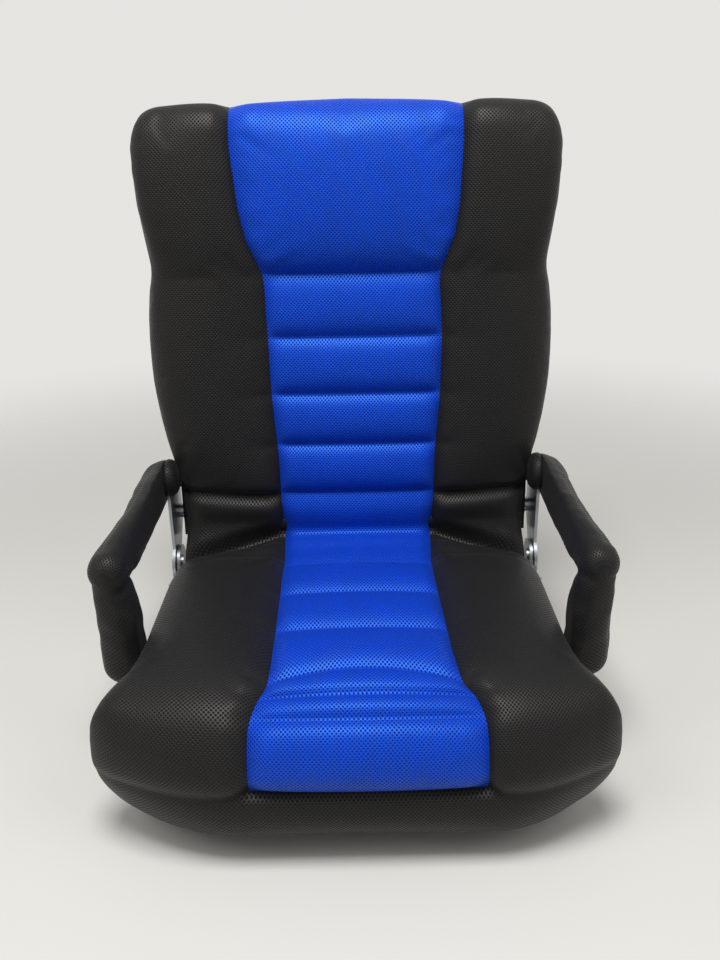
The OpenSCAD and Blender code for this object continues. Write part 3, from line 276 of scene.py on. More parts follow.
# Stations of the crease and the seat: the same from the room's own axes, and the share of the front curve
seat_stations = [
    (147.9, 225, 230, 101, 12, 18, 207, 206, 229, 0),
    (142.5, 211, 230, 100, 32, 15, 190, 190, 229, 0),
    (132, 202, 231, 99, 55, 14, 172, 172, 230, 0),
    (118, 197.5, 232.5, 98, 75, 16, 164, 140, 232, 0),
    (100, 198.5, 235, 97, 90, 20, 163, 96, 236, 0),
    (91, 199.5, 237, 96.5, 90, 22, 163, 64, 240, 0),
    (82, 201, 237.5, 96.5, 90, 23, 160, 47, 240.3, 0),
    (65, 202.3, 239, 96.5, 90, 24, 126, 41, 240.3, 0),
    (30, 203, 239.5, 96.5, 90, 25, 63, 41, 240.3, 0),
    (2, 203, 239.5, 96.5, 90, 25, 20, 41, 240.3, 0),
    (-40, 203, 239.5, 97, 90, 25, -33, 41, 240.3, 0),
    (-80, 202.5, 239.5, 97.5, 90, 25, -78, 41, 240.3, 0),
    (-114, 202.2, 241.5, 98, 90, 25, -110, 41, 240.7, 0.01),
    (-141, 201.3, 246, 99.5, 90, 26, -132, 41, 244.5, 0.05),
    (-161, 200, 253, 102, 90, 26, -146, 41, 250.5, 0.12),
    (-181, 197, 261, 106, 90, 26, -156, 41, 257.5, 0.2),
    (-199, 192.5, 267.5, 111, 90, 26, -163, 55, 263.5, 0.29),
    (-211, 187.5, 271, 115, 87, 25, -165, 82, 267, 0.35),
    (-223, 180.5, 274, 118.5, 78, 23, -166, 118, 269.5, 0.41),
    (-233, 170.5, 276.5, 120.5, 68, 21, -165, 140, 271.5, 0.47),
    (-245, 150, 278, 121, 48, 18, -164, 134, 273, 0.54),
    (-251, 124, 279, 121.5, 28, 14, -164, 118, 273, 0.6),
    (-250, 110, 278, 121.5, 12, 9, -163, 106, 272, 0.61),
    (-243, 99, 276, 122, 0, 4, -162, 96, 271, 0.62),
    (-247, 88, 276, 122, 0, 6, -162, 86, 270, 0.7),
    (-248, 70, 275, 122, 0, 7, -161, 68, 269, 0.84),
    (-245, 54, 272, 122, 0, 6, -160, 54, 266, 0.96),
    (-240, 44, 268, 122, 0, 4, -159, 46, 262, 1),
    (-233, 39.5, 262, 122, 0, 2, -158, 41, 256, 1),
]
stations = [(*leaned(s[0], s[1]), *s[2:6], *leaned(s[6], s[7]), s[8], 0) for s in back_stations]
stations = np.array(stations + seat_stations, float)
seam_stations = [12, 15, 17, 19, 22, 30, 33, 35, 38, 40, 42, 47]
headrest_seam, crease_top, crease_end, panel_end = 12, 22, 28, 47

# The line down the middle, a point a millimetre, with its corners eased
steps = np.hypot(*np.diff(stations[:, :2], axis=0).T)
station_at = np.concatenate([[0], np.cumsum(steps)])
dense_at = np.arange(0, station_at[-1], 1.0)
dense = np.stack([np.interp(dense_at, station_at, column) for column in stations.T], 1)
ease_width = 15
window = np.hanning(ease_width + 2)[1:-1]
window /= window.sum()
longer = np.pad(dense, ((ease_width // 2, ease_width // 2), (0, 0)), mode="reflect", reflect_type="odd")
dense = np.stack([np.convolve(column, window, mode="valid") for column in longer.T], 1)

# Rows across the cover, with one on each seam and each cut
seams = [station_at[k] for k in seam_stations]
stops = sorted({0.0, station_at[-1] - 1, *seams, station_at[crease_end]})
row_at = []
for a, b in zip(stops, stops[1:]):
    count = max(2, round((b - a) / row_pitch))
    row_at += [a + (b - a) * k / count for k in range(count)]
row_at = np.array(row_at + [stops[-1]])
last_row = len(row_at) - 1
rows = np.stack([np.interp(row_at, dense_at, column) for column in dense.T], 1)
along = np.gradient(rows[:, :2], axis=0)
along /= np.linalg.norm(along, axis=1)[:, None]
outward = np.stack([along[:, 1], -along[:, 0]], 1)
columns = panel_cells + 2 * (bolster_cells + round_cells + wall_cells)
half_columns = columns // 2
panel_half_cells = panel_cells // 2


def row_of(station):
    """The row that lies on a station."""
    return int(np.argmin(abs(row_at - station_at[station])))


def eased(value, start, end):
    """0 at start, 1 at end, flat beyond both and an eased rise between them."""
    t = min(max((value - start) / (end - start), 0.0), 1.0)
    return t * t * (3 - 2 * t)


def below_top(at):
    """0 over the top of the back, where the seams beside the blue run out flat, and 1 below it."""
    return eased(at, 40, 100)


channel_depth = 11.0
full_channel = 50.0
channel_roundness, narrow_power = 3.4, 1.5
headrest_reach = 22.0


def seam_pull(at):
    """1 on a seam across the blue and 0 in the middle of a full channel. A narrow one stays flatter."""
    k = int(np.searchsorted(seams, at))
    if k == 0:
        return max(0.0, 1 - (seams[0] - at) / headrest_reach) ** 2
    if k == len(seams):
        return 0.0
    length = seams[k] - seams[k - 1]
    f = (at - seams[k - 1]) / length
    rise = min(1.0, length / full_channel) ** narrow_power
    return 1 - rise * (1 - abs(2 * f - 1) ** channel_roundness)


# Folds of the cloth at the crease: place along the cover by the blue and by the edge, depth, width and
# share of the depth that crosses the blue. The rest of it sets in just inside the blue's edge.
folds = [
    (station_at[22] + 6, station_at[22] - 2, 15.0, 7.0, 0.0),
    (station_at[25] - 2, station_at[27] + 2, 26.0, 9.0, 0.36),
    (station_at[27] + 10, station_at[29] + 16, 4.0, 8.0, 0.0),
]
# The blue is crowned across its width
crown_at = [0, station_at[9], station_at[12], station_at[35], station_at[41], station_at[46]]
crown_by = [2.0, 6.0, 2.0, 4.0, 11.0, 3.0]
# Seams of the seat that bow towards the front at their ends, or away from it
bow_at = [station_at[k] for k in (35, 38, 40, 42, 43)]
bow_by = [0.0, 16.0, -3.0, -3.0, 0.0]
# The blue is sewn in a little off the middle
aside_at = [station_at[k] for k in (7, 12, 15, 22, 31, 36, 40)]
aside_by = [0.0, 3.0, 6.0, 5.0, 4.0, 8.0, 12.0]
# The seam beside the blue: its share of the channels' depth, where it starts to draw in the blue and over
# how much of it, and how far out it draws in the black
side_share, side_from, side_over, side_out = 0.85, 0.82, 0.18, 20.0
# The end of each seam across the blue puckers the black: how deep, how far along and how far out
pucker_depth, pucker_along, pucker_out = 2.5, 16.0, 45.0
bolster_crown = 4.0
crease_seam_depth, crease_seam_reach = 1.6, 7.0
back_wall_swell, seat_wall_swell = 3.0, 1.0


def cover_point(i, j):
    """A point of the cover in millimetres, and how far across the cloth it lies."""
    y, z, w, p, angle, edge, wall_y, wall_z, wall_w, curve = rows[i]
    at = row_at[i]
    k = j - half_columns
    side = -1 if k < 0 else 1
    k = abs(k)
    ny, nz = outward[i]
    in_panel = at <= station_at[panel_end] + 0.1
    side_seam = side_share * below_top(at)
    flat_w = w - round_width
    drop = out = 0.0
    if k <= panel_half_cells:
        t = k / panel_half_cells
        x = p * t
        across = x
        if in_panel:
            edge_pull = max(0.0, (t - side_from) / side_over) ** 2 * side_seam
            out = -channel_depth * (1 - (1 - seam_pull(at)) * (1 - edge_pull))
            out += float(np.interp(at, crown_at, crown_by)) * (1 - t * t)
    elif k <= panel_half_cells + bolster_cells:
        t = (k - panel_half_cells) / bolster_cells
        x = p + (flat_w - p) * t**1.2
        across = x
        if in_panel:
            out = -channel_depth * side_seam * max(0.0, 1 - (x - p) / side_out) ** 2
            pucker = max(0.0, 1 - min(abs(at - s) for s in seams) / pucker_along) ** 2
            out -= pucker_depth * pucker * max(0.0, 1 - (x - p) / pucker_out)
        out += bolster_crown * math.sin(math.pi * t) * below_top(at)
    elif k <= panel_half_cells + bolster_cells + round_cells:
        a = (k - panel_half_cells - bolster_cells) / round_cells * math.pi / 2
        x = flat_w + round_width * math.sin(a)
        drop = edge * (1 - math.cos(a))
        across = flat_w + 0.5 * (round_width + edge) * a
    else:
        x = w
        drop = edge
        across = flat_w + 0.5 * (round_width + edge) * math.pi / 2
    for at_panel, at_edge, depth, width, in_blue in folds:
        reach = in_blue + (1 - in_blue) * eased(x - p, -6, 16)
        fold_at = at_panel + (at_edge - at_panel) * min(1.0, max(0.0, (x - p) / (w - p)))
        out -= depth * reach * math.exp(-(((at - fold_at) / width) ** 2))
    if k > panel_half_cells:
        out -= crease_seam_depth * max(0.0, 1 - abs(at - station_at[crease_end]) / crease_seam_reach)
    bend = curve * nose_curve * (max(x, p) / nose_half_width) ** nose_power
    a = math.radians(angle)
    q = Vector((side * x, y + ny * out + math.cos(a) * drop + bend, z + nz * out - math.sin(a) * drop))
    g = (k - panel_half_cells - bolster_cells - round_cells) / wall_cells
    aside = max(0.0, 1 - max(0, k - panel_half_cells) / bolster_cells)
    q.x += float(np.interp(at, aside_at, aside_by)) * aside
    bow = float(np.interp(at, bow_at, bow_by)) * aside * min(1.0, k / panel_half_cells) ** 2
    q += bow * Vector((0, *along[i]))
    if g > 0:
        way = Vector((side * wall_w, wall_y, wall_z)) - q
        across += way.length * g
        swell = seat_wall_swell if at > station_at[crease_end] else back_wall_swell
        q += way * g + Vector((side * swell * math.sin(math.pi * g), 0, 0))
    return q, (side * across, at)


def laid_sheet(name, cells_x, cells_y, point, *materials):
    """A sheet of cloth from a grid, with each point's row and column, and the cloth's own flat coordinates
    in metres as its UV map. point gives a place in millimetres and a flat place."""
    bm = bmesh.new()
    bmesh.ops.create_grid(bm, x_segments=cells_x, y_segments=cells_y, size=1)
    flat_layer = bm.loops.layers.uv.new("cloth")
    row_layer = bm.verts.layers.int.new("row")
    column_layer = bm.verts.layers.int.new("column")
    flat = {}
    for v in bm.verts:
        v[row_layer] = cells_y - round((v.co.y + 1) / 2 * cells_y)
        v[column_layer] = round((v.co.x + 1) / 2 * cells_x)
        q, flat[v] = point(v[row_layer], v[column_layer])
        v.co = Vector(q) * mm
    for face in bm.faces:
        for loop in face.loops:
            loop[flat_layer].uv = (flat[loop.vert][0] * mm, flat[loop.vert][1] * mm)
    return piece_of(bm, name, *materials)


def read_points(mesh, attribute, kind, width=1):
    """One attribute of every point of a mesh, as an array."""
    count = len(mesh.vertices) * width
    values = np.empty(count, kind)
    if attribute == "co":
        mesh.vertices.foreach_get("co", values)
    else:
        mesh.attributes[attribute].data.foreach_get("value", values)
    return values.reshape(-1, width) if width > 1 else values


uncut = laid_sheet("uncut_cover", columns, last_row, cover_point)
point_row = read_points(uncut.data, "row", np.int32)
point_column = read_points(uncut.data, "column", np.int32)
places = read_points(uncut.data, "co", np.float32, 3)

# Air swells the cover between its sewn lines, which are held. The walls, the top and the crease are held in
# part, because the frame and the foam lie close behind them.
air_pressure = 4.0
air_steps = 18
air_cap = 9.0 * mm
wall_hold, top_hold, crease_hold = 0.85, 0.6, 0.4
top_length = 60
seam_rows = {row_of(k) for k in seam_stations}
head_end, back_end, seat_start, blue_end = (
    row_of(k) for k in (headrest_seam, crease_top, crease_end, panel_end)
)


def hold(i, k):
    """How firmly the cover is held, from 0 to 1, in a row and so many columns from the middle."""
    at = row_at[i]
    if i in (0, last_row, blue_end) or k >= half_columns - 2 or (k <= panel_half_cells and i in seam_rows):
        return 1.0
    if k == panel_half_cells and i <= blue_end:
        return max(top_hold, below_top(at))
    if k > half_columns - wall_cells:
        return wall_hold
    if at < top_length:
        return max(1 - at / top_length, top_hold if k > panel_half_cells else 0.0)
    return crease_hold if station_at[crease_top] < at < station_at[crease_end] else 0.0


held = uncut.vertex_groups.new(name="sewn")
for index, (i, j) in enumerate(zip(point_row, point_column)):
    held.add([index], hold(i, abs(int(j) - half_columns)), "REPLACE")
air = uncut.modifiers.new("air", "CLOTH")
air.settings.quality = 6
air.settings.mass = 0.25
air.settings.tension_stiffness = 12
air.settings.compression_stiffness = 12
air.settings.shear_stiffness = 4
air.settings.bending_stiffness = 0.4
air.settings.vertex_group_mass = "sewn"
air.settings.use_pressure = True
air.settings.uniform_pressure_force = air_pressure
air.settings.effector_weights.gravity = 0
air.point_cache.frame_start = 1
air.point_cache.frame_end = air_steps
for step in range(1, air_steps + 1):
    bpy.context.scene.frame_set(step)
swollen = uncut.evaluated_get(bpy.context.evaluated_depsgraph_get())
moved = read_points(swollen.data, "co", np.float32, 3) - places
far = np.maximum(np.linalg.norm(moved, axis=1), 1e-9)[:, None]
most, mean = float(far.max()) / mm, float(far.mean()) / mm
print("air moved the cover by", most, "mm at most and", mean, "on average")
uncut.modifiers.remove(air)
bpy.context.scene.frame_set(1)
moved *= air_cap * np.tanh(far / air_cap) / far
uncut.data.vertices.foreach_set("co", (places + moved).ravel())
uncut.data.update()

# The seams cut it into its pieces, and those through and beside the blue stay sharp when it is made finer
seam_sharpness = 0.9
cuts = []
for polygon in uncut.data.polygons:
    i = min(point_row[v] for v in polygon.vertices)
    k = max(abs(int(point_column[v]) - half_columns) for v in polygon.vertices)
    if k <= panel_half_cells and i < blue_end:
        cuts.append(0 if i < head_end else 1)
    elif i < back_end:
        cuts.append(2)
    elif i < seat_start:
        cuts.append(3 if polygon.center.x < 0 else 4)
    else:
        cuts.append(5 if i < blue_end else 6)
uncut.data.attributes.new("cut", "INT", "FACE").data.foreach_set("value", cuts)
sharpness = uncut.data.attributes.new("crease_edge", "FLOAT", "EDGE")
for edge, sharp in zip(uncut.data.edges, sharpness.data):
    a, b = edge.vertices
    off_middle = {abs(int(point_column[v]) - half_columns) for v in (a, b)}
    across_blue = point_row[a] == point_row[b] in seam_rows and max(off_middle) <= panel_half_cells
    beside_blue = off_middle == {panel_half_cells} and max(point_row[a], point_row[b]) <= blue_end
    if across_blue or beside_blue:
        sharp.value = seam_sharpness
smoother = uncut.modifiers.new("finer", "SUBSURF")
smoother.levels = smoother.render_levels = 1
finer = bpy.data.meshes.new_from_object(uncut.evaluated_get(bpy.context.evaluated_depsgraph_get()))
bpy.data.objects.remove(uncut)
cloth_thickness = 2.2 * mm


def thicken(piece, thickness):
    """Gives a sheet its wall, inwards from the outer face."""
    wall = piece.modifiers.new("cloth_thickness", "SOLIDIFY")
    wall.thickness = thickness
    wall.offset = -1
    return piece


def cut_piece(name, part, material):
    """The piece of the cover that lies between its seams."""
    bm = bmesh.new()
    bm.from_mesh(finer)
    layer = bm.faces.layers.int["cut"]
    bmesh.ops.delete(bm, geom=[f for f in bm.faces if f[layer] != part], context="FACES")
    for edge in bm.edges:
        edge.smooth = not edge.is_boundary  # the cut edge doesn't shade the face of the cloth
    piece = piece_of(bm, name, material)
    return thicken(piece, cloth_thickness)


headrest_panel = cut_piece("headrest_blue_panel", 0, blue_spacer_mesh)
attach(headrest_panel, "back")
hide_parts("headrest_panel")

centre_panel = cut_piece("centre_blue_panel", 1, blue_spacer_mesh)
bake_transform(centre_panel)
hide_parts("seat_centre_panel", "back_centre_panel")

back_pad = cut_piece("back_black_pad", 2, black_spacer_mesh)
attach(back_pad, "back")
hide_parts("back_cushion")

for name, part in (("crease_black_left", 3), ("crease_black_right", 4)):
    crease = cut_piece(name, part, black_spacer_mesh)
    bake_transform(crease)

seat_pad = cut_piece("seat_black_pad", 5, black_spacer_mesh)
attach(seat_pad, "seat")
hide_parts("seat_cushion")

boxing = cut_piece("seat_front_boxing", 6, black_spacer_mesh)
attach(boxing, "seat")


# Hem under the seat
# The cover's lower edge is turned in under the frame, all round the sides and the front, and stapled
# behind the dust cover. Its outer face looks down.
hem_z, hem_front_y = 39.3, -118
hem_strips, strip_width = 3, 6.0
hem_first = row_of(31)
hem_path = [(i, 0) for i in range(hem_first, last_row)]
hem_path += [(last_row, j) for j in range(columns + 1)]
hem_path += [(i, columns) for i in range(last_row - 1, hem_first - 1, -1)]


def hem_point(i, j):
    """A point between the cover's edge and the line where it is stapled."""
    q = cover_point(*hem_path[j])[0]
    stapled = Vector((q.x * 0.9, q.y, hem_z)) if q.y > -120 else Vector((q.x * 0.8, hem_front_y, hem_z))
    return q.lerp(stapled, i / hem_strips), (row_pitch * j, strip_width * i)


hem = laid_sheet("seat_hem", len(hem_path) - 1, hem_strips, hem_point, black_spacer_mesh)
bm = bmesh.new()
bm.from_mesh(hem.data)
if sum(f.normal.z * f.calc_area() for f in bm.faces) > 0:
    bmesh.ops.reverse_faces(bm, faces=bm.faces)
bm.to_mesh(hem.data)
bm.free()
thicken(hem, 1.0 * mm)
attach(hem, "seat")


# Rear of the back
# A plain black panel of the same mesh, pulled tight over the tubes of the back and turned in under its
# lower edge, with a nylon zip along the bottom by which the cover comes off.
rear_top, rear_pitch, rear_count = 556, 9.0, 55
rear_bulge, rib_depth = 8.5, 1.2
rear_lap_x, rear_lap_y = 1.2, 1  # it lies just outside the ends of the side walls
rear_rows = []
for k in range(rear_count):
    h = rear_top - rear_pitch * k
    wall_y, wall_w = (
        float(np.interp(-h, [-s[7] for s in back_stations], [s[column] for s in back_stations]))
        for column in (6, 8)
    )
    fill = eased(h, 562, 536) * (1 - 0.6 * eased(h, 90, 60))  # full below the top, flatter by the zip
    rear_rows.append((wall_y - rear_lap_y, h, wall_w + rear_lap_x, fill))
turned_in = ((54, 61), (52, 51), (47, 43), (37, 38.5), (22, 37), (6, 39), (-4, 45), (-8, 55), (-8, 68))
turned_in_w = 228.5
rear_rows += [(dy, dz, turned_in_w, 0.0) for dy, dz in turned_in]
rear_cells = 60


def rear_depth(i, u):
    """How far behind the hinge the rear panel lies at a row, u across from -1 to 1."""
    dy, dz, w, fill = rear_rows[i]
    rib = rib_depth * math.cos(u * math.pi * 1.5) * math.cos(dz / 70.0)
    return dy + fill * (rear_bulge * (1 - abs(u) ** 5) + rib)


def rear_point(i, j):
    u = 1 - 2 * j / rear_cells
    w = rear_rows[i][2]
    return (u * w, *leaned(rear_depth(i, u), rear_rows[i][1])), (-u * w, rear_pitch * i)


rear_panel = laid_sheet("back_rear_panel", rear_cells, len(rear_rows) - 1, rear_point, black_spacer_mesh)
thicken(rear_panel, 1.6 * mm)
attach(rear_panel, "back")
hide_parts("back_rear_cover")

zip_row = 52  # the row of the rear panel that the zip is sewn along
zip_half_length, zip_cells = 190.0, 60
tape_half_width, tape_strips, tape_strip = 12, 4, 6
tape_lift, tape_edge_lift, coil_lift = 1.5, 0.4, 2.2
tooth_pitch, tooth_stagger, tooth_size = 2.4, 0.7, (1.3, 1.5, 4.2)


def woven(name, dark, pale, depth, *waves):
    """A woven band. Its threads are waves, each with a direction and a scale, raised by a depth."""
    material, tree, shader = new_material(name)
    coordinates = add(tree, "TexCoord")
    weave = None
    for way, scale in waves:
        wave = add(
            tree, "TexWave", {"Vector": coordinates.outputs["Object"], "Scale": scale},
            bands_direction=way, wave_profile="SIN",
        ).outputs["Fac"]
        weave = add(tree, "Math", {0: weave, 1: wave}, operation="MULTIPLY").outputs[0] if weave else wave
    tint = add(tree, "Mix", {"Factor": weave, 6: linear(dark), 7: linear(pale)}, data_type="RGBA")
    bump = add(tree, "Bump", {"Height": weave, "Strength": 0.5, "Distance": depth * mm})
    join(tree, shader, {"Base Color": tint.outputs[2], "Normal": bump.outputs[0], "Roughness": 0.75})
    return material


def zip_place(x, up, out):
    """A place on the rear panel's zip: along it, above its teeth and out from the panel."""
    dz = rear_rows[zip_row][1] + up
    return (x, *leaned(rear_depth(zip_row, x / rear_rows[zip_row][2]) + out, dz))


def tape_point(i, j):
    """A point of the tape. Its edges lie closer to the panel than its middle."""
    x = zip_half_length * (1 - 2 * j / zip_cells)
    lift = tape_edge_lift if i in (0, tape_strips) else tape_lift
    return zip_place(x, tape_half_width - tape_strip * i, lift), (-x, tape_strip * i)


zip_tape = woven("black_zip_tape", "0E0E0F", "1C1C1F", 0.3, ("X", 900.0))
tape = thicken(laid_sheet("back_zip_tape", zip_cells, tape_strips, tape_point, zip_tape), 0.8 * mm)
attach(tape, "back")

nylon_coil, tree, shader = new_material("nylon_zip_coil")
coordinates = add(tree, "TexCoord")
grain = add(tree, "TexNoise", {"Vector": coordinates.outputs["Object"], "Scale": 700.0})
shine = add(tree, "MapRange", {"Value": grain.outputs["Fac"], "To Min": 0.3, "To Max": 0.5})
join(tree, shader, {"Base Color": linear("19191B"), "Roughness": shine.outputs[0]})
bm = bmesh.new()
for k in range(int(2 * zip_half_length / tooth_pitch)):
    stagger = tooth_stagger if k % 2 else -tooth_stagger
    place = zip_place(-zip_half_length + tooth_pitch * (k + 0.5), stagger, coil_lift)
    tooth = bmesh.ops.create_cube(bm, size=mm)["verts"]
    bmesh.ops.scale(bm, vec=tooth_size, verts=tooth)
    bmesh.ops.translate(bm, vec=Vector(place) * mm, verts=tooth)
coil = piece_of(bm, "back_zip_coil", nylon_coil, smooth=False)
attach(coil, "back")


# Lining behind the crease
# Under the crease the seat's cover turns down behind its foam to the rear rail, so that nothing shows
# into the pad when the back is laid down.
lining_rows = [
    (104, 180, 229), (118, 177, 229), (134, 177, 229), (147, 175.5, 229.5), (156, 171, 230),
    (161, 163, 230.5), (163, 152, 231.5), (164, 138, 233), (163.5, 118, 235), (163, 98, 236.5),
    (162.5, 80, 238), (162, 64, 239), (160, 52, 239.5), (156, 44, 239.5),
]
lining_cells, lining_pitch = 48, 15.0
ripple_depth = 0.8
lining_turn = 4  # the row at which it turns down


def lining_point(i, j):
    """A point of the lining, which ripples a little."""
    y, z, w = lining_rows[i]
    u = 1 - 2 * j / lining_cells
    ripple = ripple_depth * noise.noise(Vector((u * 5.0, i * 0.35, 4.0)))
    y += ripple if i > lining_turn else 0
    z -= ripple if i < lining_turn else 0
    return (u * w, y, z), (-u * w, lining_pitch * i)


lining = laid_sheet("seat_rear_lining", lining_cells, len(lining_rows) - 1, lining_point, black_spacer_mesh)
thicken(lining, 1.4 * mm)
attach(lining, "seat")


# Sleeves of the arms
# A padded tube of black spacer mesh is drawn over each arm bar and each post, with one seam along it. Both
# end round at the elbow, where the bar's sleeve covers the post's.
elbow, rear, front = Vector((271.5, -68, 270)), Vector((250.5, 160, 288)), Vector((256, -68, 144))
sleeve_r = 22.5
arm_outside = 294.0
sleeve_cells = 40
sleeve_seam_depth, sleeve_seam_width = 1.2, 3.0
lump_depth, lump_length = 1.3, 34.0
wrinkle_depth, wrinkle_length = 0.8, 13.0
end_share, end_length = 0.3, 50.0  # the share of all this that is left at the tube's ends


def sleeve(name, side, body, stands_for, places, seam_turn, creases, seed, inner_side, soft):
    """A tube of cloth through a line of places. Each has its centre, its radius away from the chair, its
    radius towards it and its radius up and down. The chair presses it flat at inner_side, from soft
    millimetres before that. A crease has its place along the tube and round it, its depth and its width."""
    centres = [Vector(p[0]) for p in places]
    lengths = [0.0]
    for a, b in zip(centres, centres[1:]):
        lengths.append(lengths[-1] + (b - a).length)
    outside = Vector((1, 0, 0))
    upward = (centres[-1] - centres[0]).cross(outside).normalized()

    def tube_point(i, j):
        centre, out_r, in_r, up_r = places[i]
        turn = 2 * math.pi * j / sleeve_cells
        s, c = math.sin(turn), math.cos(turn)
        at = lengths[i]
        gap = abs((turn - seam_turn + math.pi) % (2 * math.pi) - math.pi)
        crumple = -sleeve_seam_depth * math.exp(-((gap * sleeve_r / sleeve_seam_width) ** 2))
        lump = noise.noise(Vector((s * 1.2 + seed, c * 1.2, at / lump_length)))
        wrinkle = noise.noise(Vector((s * 1.6, c * 1.6 + seed, at / wrinkle_length + 0.6 * s)))
        crumple += lump_depth * lump
        crumple += wrinkle_depth * wrinkle
        crumple *= end_share + (1 - end_share) * eased(min(at, lengths[-1] - at), 0, end_length)
        for where, turn_at, deep, width in creases:
            near = 0.5 + 0.5 * math.cos(turn - turn_at)
            wave = where + 5.0 * math.sin(2 * turn + seed)
            crumple -= deep * near**2 * math.exp(-(((at - wave) / width) ** 2))
        grow = 1 + min(1.0, up_r / 20.0) * crumple / sleeve_r
        q = centre + outside * (out_r if c > 0 else in_r) * c * grow + upward * up_r * s * grow
        over = q.x - inner_side
        if over < soft:
            over = soft * math.exp((over - soft) / soft)
        return (side * (inner_side + over), q.y, q.z), (2 * math.pi * sleeve_r * j / sleeve_cells, at)

    piece = laid_sheet(name, sleeve_cells, len(places) - 1, tube_point, black_spacer_mesh)
    close_tube(piece)
    finer_sleeve = piece.modifiers.new("finer", "SUBSURF")
    finer_sleeve.levels = finer_sleeve.render_levels = 1
    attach(piece, body)
    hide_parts(stands_for)


def close_tube(piece, both_sides=False):
    """Joins a rolled sheet along its length, closes its ends and turns its faces out."""
    bm = bmesh.new()
    bm.from_mesh(piece.data)
    bmesh.ops.remove_doubles(bm, verts=bm.verts, dist=0.02 * mm)
    bmesh.ops.holes_fill(bm, edges=[e for e in bm.edges if e.is_boundary], sides=0)
    if both_sides:
        bmesh.ops.mirror(bm, geom=bm.verts[:] + bm.edges[:] + bm.faces[:], axis="X", merge_dist=-1)
    bmesh.ops.recalc_face_normals(bm, faces=bm.faces)
    bm.to_mesh(piece.data)
    bm.free()
    for polygon in piece.data.polygons:
        polygon.use_smooth = True


def round_end(centre, way, out_r, in_r, up_r, count):
    """Places that close a tube with a round end past its last centre."""
    out = []
    for k in range(1, count + 1):
        a = math.pi / 2 * k / count
        shrink = max(0.02, math.cos(a))
        out.append((centre + way * up_r * math.sin(a), out_r * shrink, in_r * shrink, up_r * shrink))
    return out


# The bar's sleeve: a round end at the back, the bar, and a round end at the elbow
bar_way = (elbow - rear).normalized()
bar_length = (elbow - rear).length
bar_over_post = 1.8
bar_full, bar_wide = 4.5, 9.5  # how much fuller it is below, and wider towards the rear
bar_cells = 43
bar_places = round_end(rear, -bar_way, sleeve_r + bar_wide, sleeve_r, sleeve_r + 2, 6)[::-1]
for k in range(bar_cells + 1):
    s = k / bar_cells
    centre = rear.lerp(elbow, s)
    full = bar_full * (1 - eased(s, 0.75, 1))
    centre -= Vector((0, 0, 0.5 * full))
    over_post = bar_over_post * eased(s, 0.65, 1)
    wide = sleeve_r + bar_wide * (1 - eased(s, 0, 0.6)) + over_post
    bar_places.append((centre, wide, sleeve_r, sleeve_r + full + over_post))
bar_end_r = sleeve_r + bar_over_post
bar_places += round_end(elbow, bar_way, bar_end_r, sleeve_r, bar_end_r, 7)

# The post's sleeve: a round end at the elbow, the post, and a blunt end beside the seat
post_way = (front - elbow).normalized()
elbow_r = sleeve_r + 1.0
elbow_in_r = 20.2
post_cells = 29
foot_length, foot_cells = 19, 6
post_places = round_end(elbow, -post_way, elbow_r, elbow_in_r, elbow_r, 7)[::-1]
for k in range(post_cells + 1):
    s = k / post_cells
    centre = elbow.lerp(front, s)
    in_r = elbow_in_r + (elbow_r - elbow_in_r) * eased(s, 0.15, 0.55)
    post_places.append((centre, arm_outside - centre.x, in_r, elbow_r + 1.5 * s))
last = post_places[-1]
for k in range(1, foot_cells + 1):
    a = math.pi / 2 * k / foot_cells
    shrink = max(0.03, math.cos(a) ** 0.6)
    post_places.append((last[0] + post_way * foot_length * math.sin(a), *(r * shrink for r in last[1:])))

for side, hand in ((-1, "left"), (1, "right")):
    sleeve(
        "arm_bar_fabric_" + hand, side, "arm_bar_" + hand, "arm_bar_sleeve_" + hand, bar_places,
        seam_turn=math.radians(60), creases=[(bar_length * 0.97, math.radians(200), 1.8, 9.0)],
        seed=2.0 + side, inner_side=250.6, soft=7.0,
    )
    sleeve(
        "arm_post_fabric_" + hand, side, "arm_post_" + hand, "arm_post_sleeve_" + hand, post_places,
        seam_turn=math.radians(20),
        creases=[(38.0, math.pi, 3.0, 5.0), (110.0, math.radians(200), 2.5, 8.0)],
        seed=5.0 + side, inner_side=245.4, soft=1.5,
    )

# The boots close the rear ends of the bars' sleeves against the back
boot_shape = (
    (250.3, 24.8), (248, 25.6), (245, 25.4), (242, 24.2), (239, 22.0), (236.5, 18.5), (235, 13.0),
    (234.2, 6.0),
)


def boot_point(i, j):
    x, r = boot_shape[i]
    turn = 2 * math.pi * j / sleeve_cells
    return (x, rear.y + r * math.cos(turn), rear.z + r * math.sin(turn)), (sleeve_r * turn, 250 - x)


boots = laid_sheet("arm_boots_fabric", sleeve_cells, len(boot_shape) - 1, boot_point, black_spacer_mesh)
close_tube(boots, both_sides=True)
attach(boots, "back")
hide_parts("arm_boots")


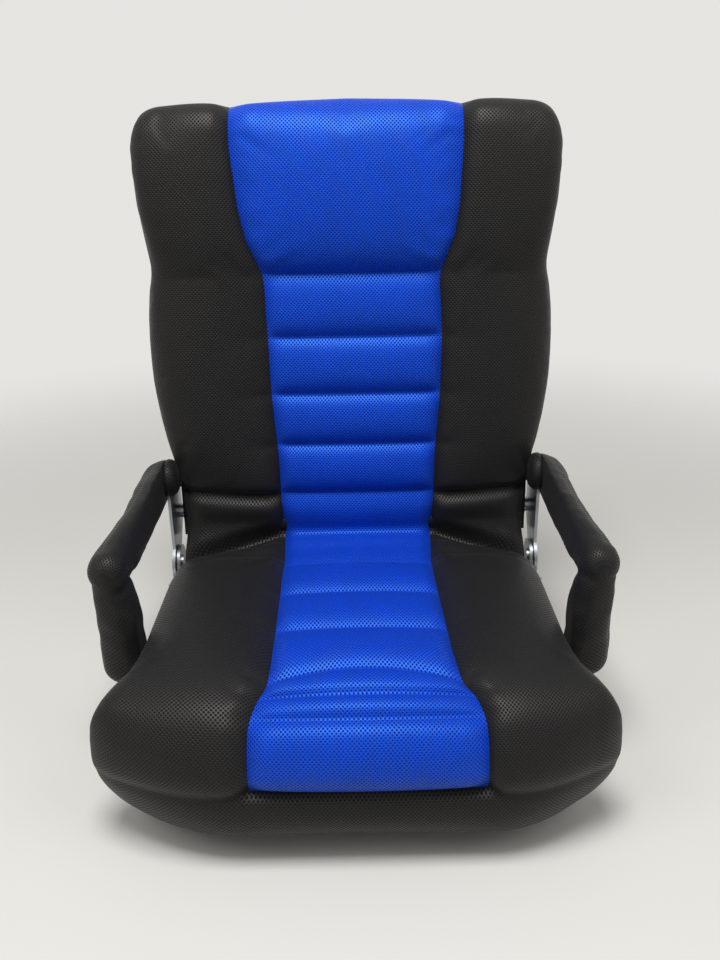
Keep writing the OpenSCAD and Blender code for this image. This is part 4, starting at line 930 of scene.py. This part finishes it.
# Zinc-plated steel
# Hinge plates, pawls, brackets, swivel plates and all fasteners are bright zinc-plated steel: bluish grey,
# with faint rolling marks and cloudy passivation.
def worn_finish(name, dark, pale, rough, cloud_scale, grain_scale, grain_depth, metallic=0.0, stretch=1.0):
    """A hard finish, cloudy in tone and roughness, with a fine grain that may be drawn out into lines."""
    material, tree, shader = new_material(name)
    coordinates = add(tree, "TexCoord")
    drawn = add(tree, "Mapping", {"Vector": coordinates.outputs["Object"], "Scale": (1, 1, stretch)})
    grain = add(tree, "TexNoise", {"Vector": drawn.outputs[0], "Scale": grain_scale, "Detail": 3.0})
    cloud = add(
        tree, "TexNoise", {"Vector": coordinates.outputs["Object"], "Scale": cloud_scale, "Detail": 4.0}
    )
    tint = add(
        tree, "Mix", {"Factor": cloud.outputs["Fac"], 6: linear(dark), 7: linear(pale)}, data_type="RGBA"
    )
    dull = add(tree, "MapRange", {"Value": cloud.outputs["Fac"], "To Min": rough[0], "To Max": rough[1]})
    bump = add(
        tree, "Bump", {"Height": grain.outputs["Fac"], "Strength": 0.25, "Distance": grain_depth * mm}
    )
    join(tree, shader, {
        "Base Color": tint.outputs[2], "Normal": bump.outputs[0], "Roughness": dull.outputs[0],
        "Metallic": metallic,
    })
    return material


def finish_nodes(material, names):
    """Gives CAD pieces their finish."""
    for name in names.split():
        nodes[name].data.materials.clear()
        nodes[name].data.materials.append(material)


finish_nodes(
    worn_finish("zinc_plated_steel", "8D9195", "B9BCBF", (0.2, 0.46), 55.0, 60.0, 0.1, 1.0, 15.0),
    """swivel_lower_plate swivel_lower_bolts swivel_lower_nuts swivel_rivet swivel_upper_plate
    swivel_upper_bolts swivel_upper_nuts hinge_seat_plates arm_brackets rail_bolts rail_nuts hinge_pivots
    pawl_pins pawl_springs arm_front_studs arm_front_nuts pawl_left pawl_right hinge_back_plates
    back_plate_spacers back_plate_bolts back_plate_nuts arm_rear_studs arm_rear_nuts elbow_rivet_left
    elbow_rivet_right""",
)

# Powder-coated tube
# The floor ring and the frames are bent steel tube with a satin black powder coat, which has a fine orange
# peel and is rubbed a little paler in places.
finish_nodes(
    worn_finish("black_powder_coat", "111113", "242528", (0.34, 0.52), 35.0, 900.0, 0.25),
    """base_ring base_cross_bars seat_rail_left seat_rail_right seat_front_rail seat_rear_rail
    seat_cross_bars back_tube_left back_tube_right back_top_tube back_cross_bars arm_bar_left
    arm_bar_right arm_post_left arm_post_right""",
)

# Feet, balls and cage
# The feet are moulded black rubber, dusty from the floor. The swivel turns on polished steel balls with a
# film of grease, in a cage of natural nylon.
finish_nodes(worn_finish("black_rubber", "101011", "28282B", (0.6, 0.82), 60.0, 500.0, 0.4), "base_feet")
finish_nodes(
    worn_finish("natural_nylon", "C9C6BC", "DEDBD1", (0.35, 0.5), 60.0, 350.0, 0.2), "swivel_ball_cage"
)
finish_nodes(
    worn_finish("polished_ball_steel", "BFC1C4", "D2D3D5", (0.06, 0.24), 300.0, 900.0, 0.02, 1.0),
    "swivel_balls",
)


# Straps and dust cover
# Elastic straps of woven black polypropylene carry the foam, and a woven dust cover closes the underside.
finish_nodes(
    woven("black_webbing", "0D0D0E", "2A2B2E", 0.5, ("X", 260.0), ("DIAGONAL", 200.0)),
    "seat_straps back_straps seat_dust_cover",
)
